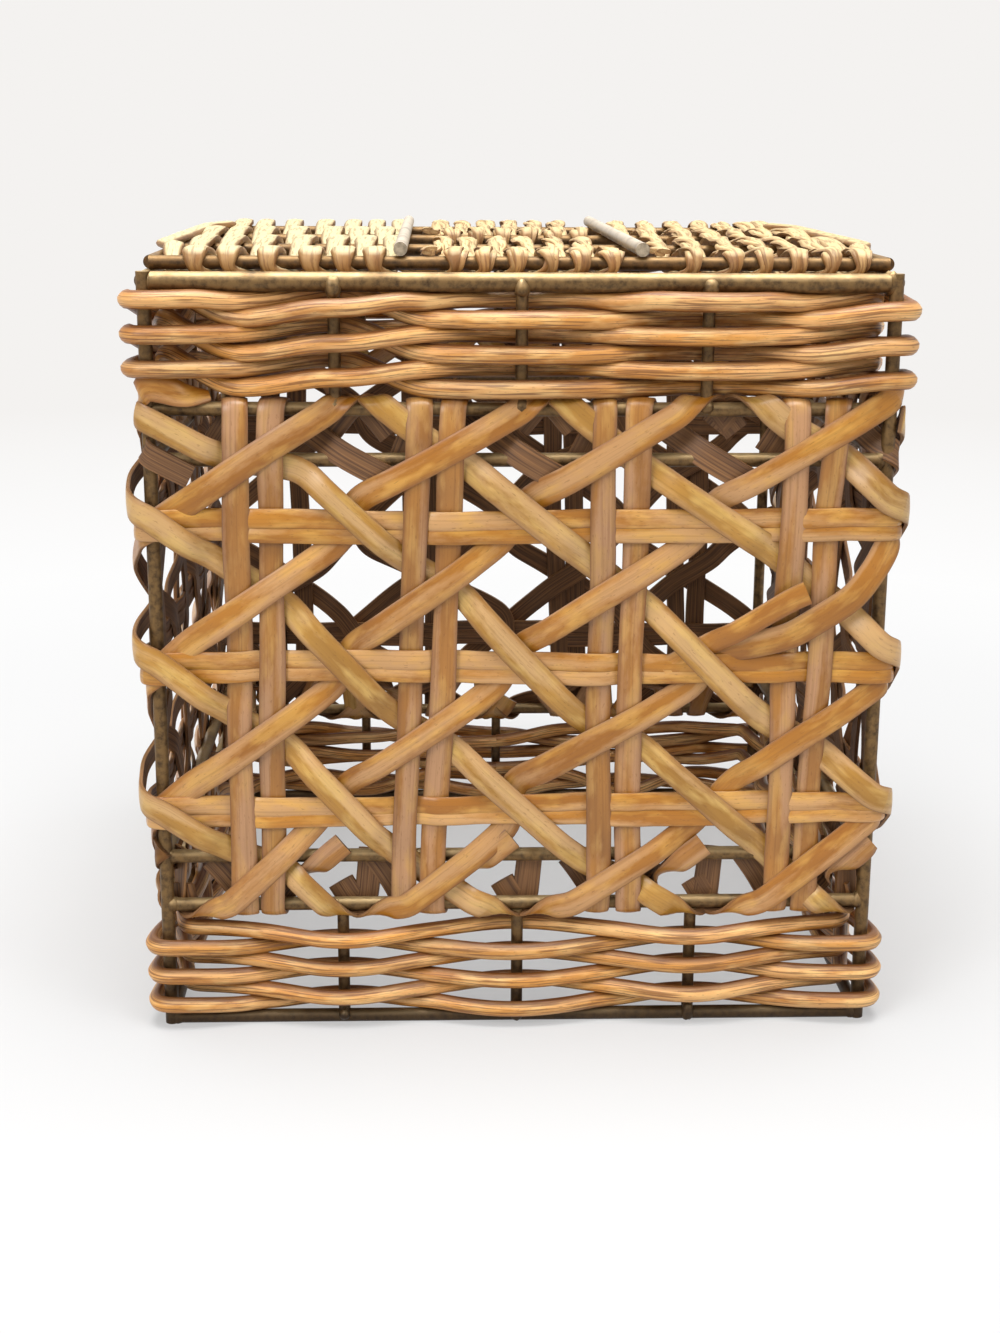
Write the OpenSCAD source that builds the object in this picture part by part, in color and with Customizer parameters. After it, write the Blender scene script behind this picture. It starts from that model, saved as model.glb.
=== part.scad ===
// Square cover for a cube box of tissues: a welded frame of round rods, an open panel of
// six-way cane on each side between two twined bands of reed, and a woven reed top
// with a square opening. The bottom is open. The cover stands on z = 0, with its front at -y.

/* [Frame] */
// Width between the centres of the left and right corner posts
frame_w = 130; // [122:1:150]
// Depth between the centres of the front and back corner posts
frame_d = 130; // [122:1:150]
// Height of the centre of the rim rails over the surface that the cover stands on
rim_h = 137.7; // [128:0.1:160]
// Diameter of the corner posts, the base rails and the cane rails
rod_d = 2.5; // [2.2:0.1:3]
// Diameter of the rim rails
rim_rod_d = 3.4; // [2.6:0.1:3.8]
// Diameter of the short stakes inside the two bands
stake_d = 2.2; // [1.8:0.1:2.6]
// Number of stakes on one side of a band
stake_count = 3; // [3:2:5]
// Distance from the highest row of level canes up to the upper cane rail
upper_cane_rail_rise = 10.6; // [8:0.1:13]
// Distance from the lowest row of level canes down to the lower cane rail
lower_cane_rail_drop = 10; // [8:0.1:13]
// Depth of the flat along the underside of the base rails
rest_flat = 0.15; // [0.1:0.05:0.3]

/* [Cane panels] */
// Width of a standing or slanting cane
cane_w = 4.3; // [3.4:0.1:4.6]
// Thickness of every cane
cane_t = 1; // [0.8:0.05:1.2]
// Width of each of the two canes of a level row
row_cane_w = 2.95; // [2.4:0.05:3.2]
// Distance between the centres of the two standing canes of a pair
pair_spacing = 5.8; // [5:0.1:6.4]
// Number of standing pairs on one side
pair_count = 4; // [3:1:4]
// Number of level rows on one side
row_count = 3; // [1:2:3]

/* [Reed bands] */
// Diameter of the reed in the top band
top_reed_d = 2.9; // [2.2:0.1:3.4]
// Diameter of the reed in the bottom band
bottom_reed_d = 2.8; // [2.2:0.1:3.2]
// Number of twined rows in each band
band_rows = 3; // [2:1:4]
// Height left free between the bottom band and the canes over it
bottom_band_slack = 1.8; // [0.5:0.1:4]

/* [Woven top] */
// Diameter of the rods that carry the woven top
top_rod_d = 2.4; // [2:0.1:2.8]
// Distance from the rim rail's centre in to the centre of the front and back top rods
top_rod_inset = 4.1; // [4:0.1:7]
// Distance from the rim rail's centre in to the centre of the side top rods
side_rod_inset = 0.6; // [0:0.1:1.2]
// Width of the reed in the woven top
weave_reed_w = 2.5; // [2:0.1:2.8]
// Thickness of the reed in the woven top
weave_reed_t = 1.9; // [1.4:0.1:2]
// Distance between the centres of neighbouring reeds in the woven top
weave_pitch = 3; // [2.9:0.05:3.4]
// Clear width of the opening that the tissues come out of
opening_w = 39.6; // [30:0.2:50]
// Distance between the centres of the two top rods at the opening
opening_rod_span = 40; // [34:1:52]

/* [Hidden] */
$fn = 48;

// Sides, in their order round the cover from the front towards the right
SIDES = ["front", "right", "back", "left"];

BRONZE = [0.46, 0.37, 0.24];
CANE = [0.78, 0.58, 0.3];
REED = [0.76, 0.55, 0.34];
PALE_REED = [0.93, 0.84, 0.62];

// Clearance between two pieces that rest on each other
seat_gap = 0.06;
// Steps along a bend
bend_steps = 6;
// Sides of a round reed in the bands
reed_sides = 6;
// Steps of a twined reed from one stake to the next
twine_steps = 4;
// Steps of a top reed from one rod to the next
wave_steps = 6;
// Share of a row's height that the field of cane has beyond its outermost rows
end_row_share = 0.47;
// Angle that a standing cane wraps over the rail it hangs on
hook_angle = 150;
// Angle round a corner post at which the pieces of its two sides meet
mitre_angle = 45;

rod_r = rod_d / 2;
rim_r = rim_rod_d / 2;
top_rod_r = top_rod_d / 2;

// Distance from the middle of a rod to the middle of a cane that rests on it
cane_seat = rod_r + seat_gap + cane_t / 2;
// Distance between the middles of two canes that cross
cane_layer = cane_t + seat_gap;
// Outermost reach of a cane that is bent round a rail
hook_r = cane_seat + cane_t / 2;

// Heights of the rails
base_z = rod_r - rest_flat;
top_row_pitch = 2 * (top_reed_d + seat_gap);
bottom_row_pitch = 2 * (bottom_reed_d + seat_gap);
upper_z = rim_h - rim_r - seat_gap - band_rows * top_row_pitch - hook_r;
lower_z = base_z + rod_r + seat_gap + band_rows * bottom_row_pitch + bottom_band_slack + hook_r;

// Field of cane between the upper and the lower rail
field_z = (upper_z + lower_z) / 2;
row_pitch = (upper_z - lower_z) / (row_count + end_row_share);
last_row = (row_count - 1) / 2;
row_half = row_cane_w + seat_gap / 2;
upper_cane_rail_z = field_z + last_row * row_pitch + upper_cane_rail_rise;
lower_cane_rail_z = field_z - last_row * row_pitch - lower_cane_rail_drop;
pair_half = (pair_spacing + cane_w) / 2;
pair_inner_half = (pair_spacing - cane_w) / 2;

// Woven top
top_rod_z = rim_h + rim_r + seat_gap + top_rod_r;
opening_rod_z = top_rod_z + top_rod_d + seat_gap;
opening_rod_x = opening_w / 2 + top_rod_r;
side_rod_x = frame_w / 2 - side_rod_inset;
outer_rod_y = frame_d / 2 - top_rod_inset;
inner_rod_y = opening_rod_span / 2;
weave_seat = top_rod_r + seat_gap + weave_reed_t / 2;
weave_margin = weave_pitch - weave_reed_w;
mid_reeds = 2 * floor((opening_w / 2 - weave_margin) / weave_pitch);
side_weave_start = opening_rod_x + top_rod_r + weave_margin / 2 + weave_reed_w / 2;
side_weave_room = side_rod_x - top_rod_r - side_weave_start - weave_reed_w / 2;
side_reeds = floor(side_weave_room / weave_pitch) + 1;

// Length of a side between the centres of its posts, and its distance from the middle
function faces_y(side) = side == "front" || side == "back";
function side_length(side) = faces_y(side) ? frame_w : frame_d;
function side_distance(side) = faces_y(side) ? frame_d / 2 : frame_w / 2;
function reversed(list) = [for (i = [len(list) - 1:-1:0]) list[i]];

// Turns a shape drawn for the front, with outward at -y and the posts' plane at y = 0
module on_side(side) {
    rotate([0, 0, 90 * search([side], SIDES)[0]])
        translate([0, -side_distance(side), 0]) children();
}

module level_rod(length, d) {
    rotate([0, 90, 0]) cylinder(h = length, d = d, center = true);
}

// Frame

module corner_post(x_sign, y_sign) {
    color(BRONZE)
        translate([x_sign * frame_w / 2, y_sign * frame_d / 2, 0])
            cylinder(h = rim_h + rim_r, d = rod_d);
}

module frame_rail(side, z) {
    length = side_length(side) - 2 * (rod_r + seat_gap);
    color(BRONZE) on_side(side) translate([0, 0, z]) level_rod(length, rod_d);
}

module base_rail(side) {
    length = side_length(side);
    color(BRONZE)
        difference() {
            frame_rail(side, base_z);
            on_side(side) translate([-length / 2, -rod_d, -rod_d]) cube([length, 2 * rod_d, rod_d]);
        }
}

// Plan of one side, cut off on the diagonal through the middle of each corner post
module mitred_plan(length, half) {
    reach = length / 2;
    polygon([
        [-reach - half, -half], [reach + half, -half],
        [reach - half, half], [-reach + half, half]
    ]);
}

module rim_rail(side) {
    length = side_length(side) - 2 * (rod_r + seat_gap);
    color(BRONZE)
        on_side(side) translate([0, 0, rim_h])
            intersection() {
                level_rod(length, rim_rod_d);
                linear_extrude(height = 2 * rim_rod_d, center = true)
                    mitred_plan(side_length(side) - 2 * seat_gap, rim_rod_d);
            }
}

module band_stakes(z_low, z_high) {
    color(BRONZE)
        for (side = SIDES, i = [1:stake_count])
            on_side(side)
                translate([side_length(side) * (i / (stake_count + 1) - 1 / 2), 0, z_low + seat_gap])
                    cylinder(h = z_high - z_low - 2 * seat_gap, d = stake_d);
}

module top_band_stakes() band_stakes(upper_z + rod_r, rim_h - rim_r);

module bottom_band_stakes() band_stakes(base_z + rod_r, lower_z - rod_r);

// Rods of the woven top

module outer_top_rod(y_sign) {
    color(BRONZE)
        translate([0, y_sign * outer_rod_y, top_rod_z]) level_rod(2 * side_rod_x, top_rod_d);
}

module inner_top_rod(y_sign) {
    color(BRONZE)
        translate([0, y_sign * inner_rod_y, top_rod_z])
            level_rod(2 * (side_rod_x - top_rod_r - seat_gap), top_rod_d);
}

module top_side_rods() {
    color(BRONZE)
        for (x_sign = [-1, 1])
            translate([x_sign * side_rod_x, 0, top_rod_z])
                rotate([0, 0, 90])
                    level_rod(2 * (outer_rod_y - top_rod_r - seat_gap), top_rod_d);
}

module opening_side_rods() {
    color(BRONZE)
        for (x_sign = [-1, 1])
            translate([x_sign * opening_rod_x, 0, opening_rod_z])
                rotate([0, 0, 90]) level_rod(2 * (outer_rod_y + top_rod_r), top_rod_d);
}

// Strips: a strip's route is a list of [distance along it, height of its middle]

// Arc round a rod at p, starting over it at angle 0 and going down past it in direction way
function bend(p, way, r, from, to) = from == to ? [] :
    [for (i = [0:bend_steps])
        let (a = from + (to - from) * i / bend_steps) [p + way * r * sin(a), r * cos(a)]];

function shifted(route, rise) = [for (point = route) [point[0], point[1] + rise]];

// Outline of a strip with both ends bent round a rod at radius r, each by its own angle
function strip_outline(route, t, r, start_bend, end_bend) =
    let (start = route[0][0], end = route[len(route) - 1][0])
    concat(
        bend(start, -1, r + t / 2, start_bend, 0),
        shifted(route, t / 2),
        bend(end, 1, r + t / 2, 0, end_bend),
        bend(end, 1, r - t / 2, end_bend, 0),
        reversed(shifted(route, -t / 2)),
        bend(start, -1, r - t / 2, 0, start_bend)
    );

// Cane on a side's plane, at an angle up from level, with its layers stacked outward
module cane(route, angle, width, bend_angle = 0) {
    rotate([180, -angle, 0])
        linear_extrude(height = width, center = true)
            polygon(strip_outline(route, cane_t, cane_seat, bend_angle, bend_angle));
}

// Six-way pattern of one side. Slanting canes cross the standing pairs halfway between two
// rows, and cross the rows halfway between two pairs, at what is called a spot here.

function pair_pitch(length) = length / pair_count;
function slant(length) = atan(row_pitch / pair_pitch(length));
function pair_u(length, i) = (i + 1 / 2) * pair_pitch(length) - length / 2;
function row_z(j) = field_z + (j - last_row) * row_pitch;

// Half lengths along a slanting cane in which it lies over or under a pair or a row
function pair_cover(length) =
    (pair_half + cane_w / 2 * sin(slant(length))) / cos(slant(length)) + seat_gap;
function row_cover(length) =
    (row_half + cane_w / 2 * cos(slant(length))) / sin(slant(length)) + seat_gap;

// Half heights and widths that two slanting canes take up at a spot
function spot_rise(length) = pair_half * tan(slant(length)) + cane_w / 2 / cos(slant(length));
function spot_run(length) = row_half / tan(slant(length)) + cane_w / 2 / sin(slant(length));

// A standing cane goes behind and in front of the rows by turns, and hooks over both rails
function standing_route(length, first) = concat(
    [[lower_z, cane_seat]],
    [for (j = [0:row_count - 1], k = [-1, 1])
        let (
            level = cane_seat + (j % 2 == 0 ? first : -first) * cane_layer / 2,
            flat_end = row_z(j) + k * (row_pitch / 2 - spot_rise(length)),
            ramp_end = row_z(j) + k * row_half
        )
        each k < 0 ? [[flat_end, cane_seat], [ramp_end, level]]
            : [[ramp_end, level], [flat_end, cane_seat]]],
    [[upper_z, cane_seat]]
);

module standing_canes(side) {
    length = side_length(side);
    color(CANE)
        on_side(side)
            for (i = [0:pair_count - 1], hand = [-1, 1])
                translate([pair_u(length, i) + hand * pair_spacing / 2, 0, 0])
                    cane(standing_route(length, -hand), 90, cane_w, hook_angle);
}

// A level cane goes behind one cane of each pair and in front of the other
function level_route(length, first) = concat(
    [[-length / 2, cane_seat]],
    [for (i = [0:pair_count - 1])
        let (
            u = pair_u(length, i),
            spot = pair_pitch(length) / 2 - spot_run(length),
            near = cane_seat + first * cane_layer / 2,
            far = cane_seat - first * cane_layer / 2
        )
        each [
            [u - spot, cane_seat], [u - pair_half, near], [u - pair_inner_half, near],
            [u + pair_inner_half, far], [u + pair_half, far], [u + spot, cane_seat]
        ]],
    [[length / 2, cane_seat]]
);

module level_canes(side) {
    length = side_length(side);
    color(CANE)
        on_side(side)
            for (j = [0:row_count - 1], k = [-1, 1])
                translate([0, 0, row_z(j) + k * (row_cane_w + seat_gap) / 2])
                    cane(level_route(length, j % 2 == 0 ? -1 : 1), 0, row_cane_w, mitre_angle);
}

// Levels of slanting canes at spot k of a line, where even spots lie on the rows
function in_field(z) = abs(z - field_z) <= last_row * row_pitch + row_half;

// A rising cane goes over the pairs and under the rows
function rising_level(k, z) =
    cane_seat + (k % 2 == 0 && in_field(z) ? -cane_layer : cane_layer);

// A falling cane goes over the rows and under the pairs, and behind the rails at its ends
function falling_level(k, z) =
    !in_field(z) ? -cane_seat : cane_seat + (k % 2 == 0 ? cane_layer : -cane_layer);

// Route of the slanting cane that meets the left post at the given row, counted from the middle
function slanting_route(length, row, way) =
    let (step = norm([pair_pitch(length), row_pitch]) / 2)
    [for (k = [0:2 * pair_count], end = [-1, 1])
        let (
            z = field_z + (row + way * k / 2) * row_pitch,
            cover = k % 2 == 0 ? row_cover(length) : pair_cover(length)
        )
        [k * step + end * cover, way > 0 ? rising_level(k, z) : falling_level(k, z)]];

module slanting_canes(side, way, reach, z_low, z_high) {
    length = side_length(side);
    steps = pair_count + last_row;
    rows = way > 0 ? [-steps:last_row] : [-last_row:steps];
    depth = 2 * (hook_r + cane_layer);
    color(CANE)
        on_side(side)
            for (row = rows)
                intersection() {
                    translate([-length / 2, 0, field_z + row * row_pitch])
                        cane(slanting_route(length, row, way), way * slant(length), cane_w);
                    translate([-reach, -depth / 2, z_low])
                        cube([2 * reach, depth, z_high - z_low]);
                }
}

module rising_canes(side) {
    reach = side_length(side) / 2 - rod_r - seat_gap;
    slanting_canes(side, 1, reach, lower_z - rod_r, upper_z + rod_r);
}

module falling_canes(side) {
    reach = side_length(side) / 2 + rod_r;
    slanting_canes(side, -1, reach, lower_z, upper_z);
}

// Twined bands. The two reeds of a row wind round each other, so that each stake has one
// in front and one behind. Each reed is divided at the middle of the corners, end to end.

// Stations of one reed along a side: [kind, place, middle outward, middle up], where the kind
// is 0 on the side itself, -1 or 1 at the left or right corner, and the place of a corner
// station is its angle round the post
function twine_stations(length, z, reed_d, phase, twist) =
    let (
        span = length / (stake_count + 1),
        reach = rod_r + seat_gap + reed_d / 2,
        corner_run = reach + reed_d / 2 + seat_gap,
        rise = reed_d / 2 + seat_gap / 2,
        angles = phase > 0 ? [mitre_angle, mitre_angle / 2, 0] : [mitre_angle],
        corner = [for (a = angles) [a, phase * reach, z]],
        last = (stake_count + 1) * twine_steps
    )
    concat(
        [for (c = corner) concat([-1], c)],
        [for (i = [0:last])
            let (
                turn = i / twine_steps,
                u = i == 0 ? corner_run - length / 2
                    : i == last ? length / 2 - corner_run
                    : i * span / twine_steps - length / 2
            )
            [0, u, phase * reach * cos(180 * turn), z + phase * twist * rise * sin(180 * turn)]],
        [for (c = reversed(corner)) concat([1], c)]
    );

// Point of a station at n outward and z up. An inner reed is cut off along the corner's
// diagonal, and an outer one turns round the post.
function twine_point(station, length, n, z, phase) =
    let (way = station[0], angle = station[1], corner = (length - seat_gap) / 2)
    way == 0 ? [station[1], -n, z]
    : phase < 0 ? [way * (corner + n), -n, z]
    : [way * (corner + n * sin(angle)), -n * cos(angle), z];

module twined_reed(length, z, reed_d, phase, twist) {
    stations = twine_stations(length, z, reed_d, phase, twist);
    count = len(stations);
    points = [for (s = stations, k = [0:reed_sides - 1])
        let (a = 360 * (k + 1 / 2) / reed_sides)
        twine_point(s, length, s[2] + reed_d / 2 * cos(a), s[3] + reed_d / 2 * sin(a), phase)];
    sides = [for (i = [0:count - 2], k = [0:reed_sides - 1])
        let (
            a = i * reed_sides + k,
            b = i * reed_sides + (k + 1) % reed_sides,
            c = a + reed_sides,
            d = b + reed_sides
        )
        each [[a, b, d], [a, d, c]]];
    start = [for (k = [1:reed_sides - 2]) [0, k + 1, k]];
    last = (count - 1) * reed_sides;
    end = [for (k = [1:reed_sides - 2]) [last, last + k, last + k + 1]];
    polyhedron(points = points, faces = concat(sides, start, end));
}

module band_reeds(z_low, pitch, reed_d, twist) {
    color(REED)
        for (side = SIDES, row = [0:band_rows - 1], phase = [-1, 1])
            on_side(side)
                twined_reed(
                    side_length(side), z_low + (row + 1 / 2) * pitch, reed_d, phase, twist
                );
}

module top_band_reeds() band_reeds(upper_z + hook_r, top_row_pitch, top_reed_d, 1);

module bottom_band_reeds()
    band_reeds(base_z + rod_r + seat_gap, bottom_row_pitch, bottom_reed_d, -1);

// Woven top. Each reed goes over and under the rods by turns, from front to back. Where it
// ends over a rod it turns down round it, and where it ends under one it stops below it.

function wave(rods, over_first) = concat(
    [for (i = [0:len(rods) - 2], k = [0:wave_steps - 1])
        let (
            from = ((i % 2 == 0) == over_first ? 1 : -1) * weave_seat,
            run = rods[i + 1] - rods[i]
        )
        [rods[i] + run * k / wave_steps, from * cos(180 * k / wave_steps)]],
    [[
        rods[len(rods) - 1],
        ((len(rods) - 1) % 2 == 0) == over_first ? weave_seat : -weave_seat
    ]]
);

module top_reed(x, rods, over_first) {
    route = wave(rods, over_first);
    start_bend = over_first ? 180 : 0;
    end_bend = route[len(route) - 1][1] > 0 ? 180 : 0;
    translate([x, 0, top_rod_z])
        rotate([90, 0, 90])
            linear_extrude(height = weave_reed_w, center = true)
                polygon(strip_outline(route, weave_reed_t, weave_seat, start_bend, end_bend));
}

module side_weave(x_sign) {
    rods = [-outer_rod_y, -inner_rod_y, inner_rod_y, outer_rod_y];
    color(PALE_REED)
        for (i = [0:side_reeds - 1])
            top_reed(x_sign * (side_weave_start + i * weave_pitch), rods, i % 2 == 0);
}

module middle_weave(rods) {
    color(PALE_REED)
        for (i = [0:mid_reeds - 1])
            top_reed((i - (mid_reeds - 1) / 2) * weave_pitch, rods, i % 2 == 0);
}

corner_post(-1, -1);  // corner_post_front_left
corner_post(1, -1);  // corner_post_front_right
corner_post(-1, 1);  // corner_post_back_left
corner_post(1, 1);  // corner_post_back_right
base_rail("front");  // base_rail_front
base_rail("right");  // base_rail_right
base_rail("back");  // base_rail_back
base_rail("left");  // base_rail_left
rim_rail("front");  // rim_rail_front
rim_rail("right");  // rim_rail_right
rim_rail("back");  // rim_rail_back
rim_rail("left");  // rim_rail_left
frame_rail("front", upper_z);  // upper_rail_front
frame_rail("right", upper_z);  // upper_rail_right
frame_rail("back", upper_z);  // upper_rail_back
frame_rail("left", upper_z);  // upper_rail_left
frame_rail("front", upper_cane_rail_z);  // upper_cane_rail_front
frame_rail("right", upper_cane_rail_z);  // upper_cane_rail_right
frame_rail("back", upper_cane_rail_z);  // upper_cane_rail_back
frame_rail("left", upper_cane_rail_z);  // upper_cane_rail_left
frame_rail("front", lower_cane_rail_z);  // lower_cane_rail_front
frame_rail("right", lower_cane_rail_z);  // lower_cane_rail_right
frame_rail("back", lower_cane_rail_z);  // lower_cane_rail_back
frame_rail("left", lower_cane_rail_z);  // lower_cane_rail_left
frame_rail("front", lower_z);  // lower_rail_front
frame_rail("right", lower_z);  // lower_rail_right
frame_rail("back", lower_z);  // lower_rail_back
frame_rail("left", lower_z);  // lower_rail_left
top_band_stakes();
bottom_band_stakes();
outer_top_rod(-1);  // top_rod_front
inner_top_rod(-1);  // top_rod_opening_front
inner_top_rod(1);  // top_rod_opening_back
outer_top_rod(1);  // top_rod_back
top_side_rods();
opening_side_rods();
top_band_reeds();
bottom_band_reeds();
standing_canes("front");  // standing_canes_front
standing_canes("right");  // standing_canes_right
standing_canes("back");  // standing_canes_back
standing_canes("left");  // standing_canes_left
level_canes("front");  // level_canes_front
level_canes("right");  // level_canes_right
level_canes("back");  // level_canes_back
level_canes("left");  // level_canes_left
rising_canes("front");  // rising_canes_front
rising_canes("right");  // rising_canes_right
rising_canes("back");  // rising_canes_back
rising_canes("left");  // rising_canes_left
falling_canes("front");  // falling_canes_front
falling_canes("right");  // falling_canes_right
falling_canes("back");  // falling_canes_back
falling_canes("left");  // falling_canes_left
side_weave(-1);  // top_weave_left
side_weave(1);  // top_weave_right
middle_weave([-outer_rod_y, -inner_rod_y]);  // top_weave_front
middle_weave([inner_rod_y, outer_rod_y]);  // top_weave_back
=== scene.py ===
"""Dresses the tissue box cover: a welded rod frame woven with cane and reed, for a still picture.

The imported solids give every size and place. The rods are shown as packed, with a painted finish
and weld beads, and the canes and reeds are replaced by strands that run on round the corners.
Lengths are in millimetres until a mesh is made, and angles are in radians. A track is a strand's
middle line, as rows of [run, out, up, lean] in the terms of Perimeter.
"""

import logging
import math
from dataclasses import dataclass, field, replace
from enum import Enum
from typing import Any, Iterator, Sequence

import bpy
import numpy as np
from mathutils import Matrix, Vector


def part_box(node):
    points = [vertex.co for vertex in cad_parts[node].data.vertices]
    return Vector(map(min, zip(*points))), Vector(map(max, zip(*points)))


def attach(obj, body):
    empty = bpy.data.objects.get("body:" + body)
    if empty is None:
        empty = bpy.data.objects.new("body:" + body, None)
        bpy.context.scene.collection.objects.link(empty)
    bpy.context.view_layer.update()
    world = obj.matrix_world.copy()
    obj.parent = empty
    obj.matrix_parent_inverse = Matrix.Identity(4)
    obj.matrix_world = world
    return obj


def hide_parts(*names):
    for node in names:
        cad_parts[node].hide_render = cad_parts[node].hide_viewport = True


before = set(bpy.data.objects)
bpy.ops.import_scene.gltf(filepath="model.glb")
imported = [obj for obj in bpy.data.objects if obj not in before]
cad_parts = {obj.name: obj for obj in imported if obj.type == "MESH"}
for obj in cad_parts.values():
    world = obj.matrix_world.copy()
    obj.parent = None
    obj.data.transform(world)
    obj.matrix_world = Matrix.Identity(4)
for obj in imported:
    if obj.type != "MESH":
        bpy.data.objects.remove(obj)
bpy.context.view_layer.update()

log = logging.getLogger("cover")
Array = np.ndarray
Material = bpy.types.Material
Tree = bpy.types.NodeTree
MM = 0.001
TAU = 2 * np.pi
BODY = "root"


class Side(Enum):
    """The four sides, in their order round the cover from the front towards the right."""

    FRONT = 0
    RIGHT = 1
    BACK = 2
    LEFT = 3

    @property
    def label(self) -> str:
        """The side's name as the solids' names have it."""
        return self.name.lower()


class Cane(Enum):
    """The kinds of cane in a panel, as the solids' names have them."""

    STANDING = "standing"
    LEVEL = "level"
    RISING = "rising"
    FALLING = "falling"


@dataclass(frozen=True)
class CoverSizes:
    """Sizes of the rod frame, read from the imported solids, in millimetres."""

    post_half: float
    post_r: float
    rim_z: float
    rim_r: float
    upper_z: float
    upper_cane_z: float
    lower_cane_z: float
    lower_z: float
    base_z: float
    rod_r: float
    top_rod_z: float
    top_rod_r: float
    outer_rod_y: float
    inner_rod_y: float
    side_rod_x: float
    cane_t: float = 1.0
    gap: float = 0.06

    @classmethod
    def from_frame(cls) -> "CoverSizes":
        """Reads the sizes off the boxes of the frame's solids.

        Returns:
            The sizes, in millimetres.
        """
        def span(node: str, axis: int) -> tuple[float, float]:
            """Middle and half length of a solid's box along an axis."""
            low, high = (corner[axis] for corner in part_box(node))
            return (low + high) / 2 / MM, (high - low) / 2 / MM

        post_half, post_r = span("corner_post_front_right", 0)
        rim_z, rim_r = span("rim_rail_front", 2)
        top_rod_z, top_rod_r = span("top_rod_front", 2)
        rails = ("upper", "upper_cane", "lower_cane", "lower", "base")
        return cls(
            post_half, post_r, rim_z, rim_r, *(span(f"{rail}_rail_front", 2)[0] for rail in rails),
            rod_r=span("upper_rail_front", 2)[1], top_rod_z=top_rod_z, top_rod_r=top_rod_r,
            outer_rod_y=span("top_rod_back", 1)[0],
            inner_rod_y=span("top_rod_opening_back", 1)[0],
            side_rod_x=span("top_side_rods", 0)[1] - top_rod_r,
        )

    @property
    def seat(self) -> float:
        """Distance from the middle of a rod to the middle of a cane that rests on it."""
        return self.rod_r + self.gap + self.cane_t / 2

    @property
    def layer(self) -> float:
        """Distance between the middles of two canes that cross."""
        return self.cane_t + self.gap


# Curves and strands


def eased(at: Array, knots: Sequence[float], values: Sequence[float]) -> Array:
    """Carries values from knot to knot on half waves of a cosine, level at each knot.

    Args:
        at: Where the values are wanted.
        knots: Rising places of the known values.
        values: The known values.

    Returns:
        One value for each place in at.
    """
    knots, values = np.asarray(knots, float), np.asarray(values, float)
    index = np.clip(np.searchsorted(knots, at, side="right") - 1, 0, len(knots) - 2)
    share = np.clip((at - knots[index]) / (knots[index + 1] - knots[index]), 0, 1)
    return values[index] + (values[index + 1] - values[index]) * (1 - np.cos(np.pi * share)) / 2


def smoothed(values: Array, reach: int) -> Array:
    """Averages each row with its neighbours under a cosine bell.

    Past either end the rows go on as their mirror image through that end, which stays in place.

    Args:
        values: Rows of columns.
        reach: Rows on each side that count.

    Returns:
        The smoothed rows.
    """
    bell = np.hanning(2 * reach + 3)[1:-1]
    bell /= bell.sum()
    ahead = 2 * values[0] - values[reach:0:-1]
    behind = 2 * values[-1] - values[-2:-reach - 2:-1]
    padded = np.concatenate([ahead, values, behind])
    return np.stack([np.convolve(column, bell, "valid") for column in padded.T], axis=1)


def travelled(points: Array) -> Array:
    """Distance of each point from the first along the straight lines between them."""
    return np.concatenate([[0], np.cumsum(np.linalg.norm(np.diff(points, axis=0), axis=1))])


def unit(rows: Array) -> Array:
    """Divides each row by its length."""
    return rows / np.linalg.norm(rows, axis=1, keepdims=True)


def stations(
    rows: Array, step: float, reach: int, smooth: int | None = None,
) -> tuple[Array, Array]:
    """Sets even stations along a line, and smooths what is carried to them.

    Args:
        rows: Rows of columns, of which the first three say where the line goes.
        step: Distance between stations.
        reach: Stations on each side that smooth one.
        smooth: How many columns are smoothed, or None for all.

    Returns:
        The rows at the stations, and how far along each is.
    """
    length = travelled(rows[:, :3])
    at = np.linspace(0, length[-1], max(int(round(length[-1] / step)), 4) + 1)
    line = np.stack([np.interp(at, length, column) for column in rows.T], axis=1)
    line[1:-1, :smooth] = smoothed(line[:, :smooth], reach)[1:-1]
    return line, np.arange(len(line)) * step


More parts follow.
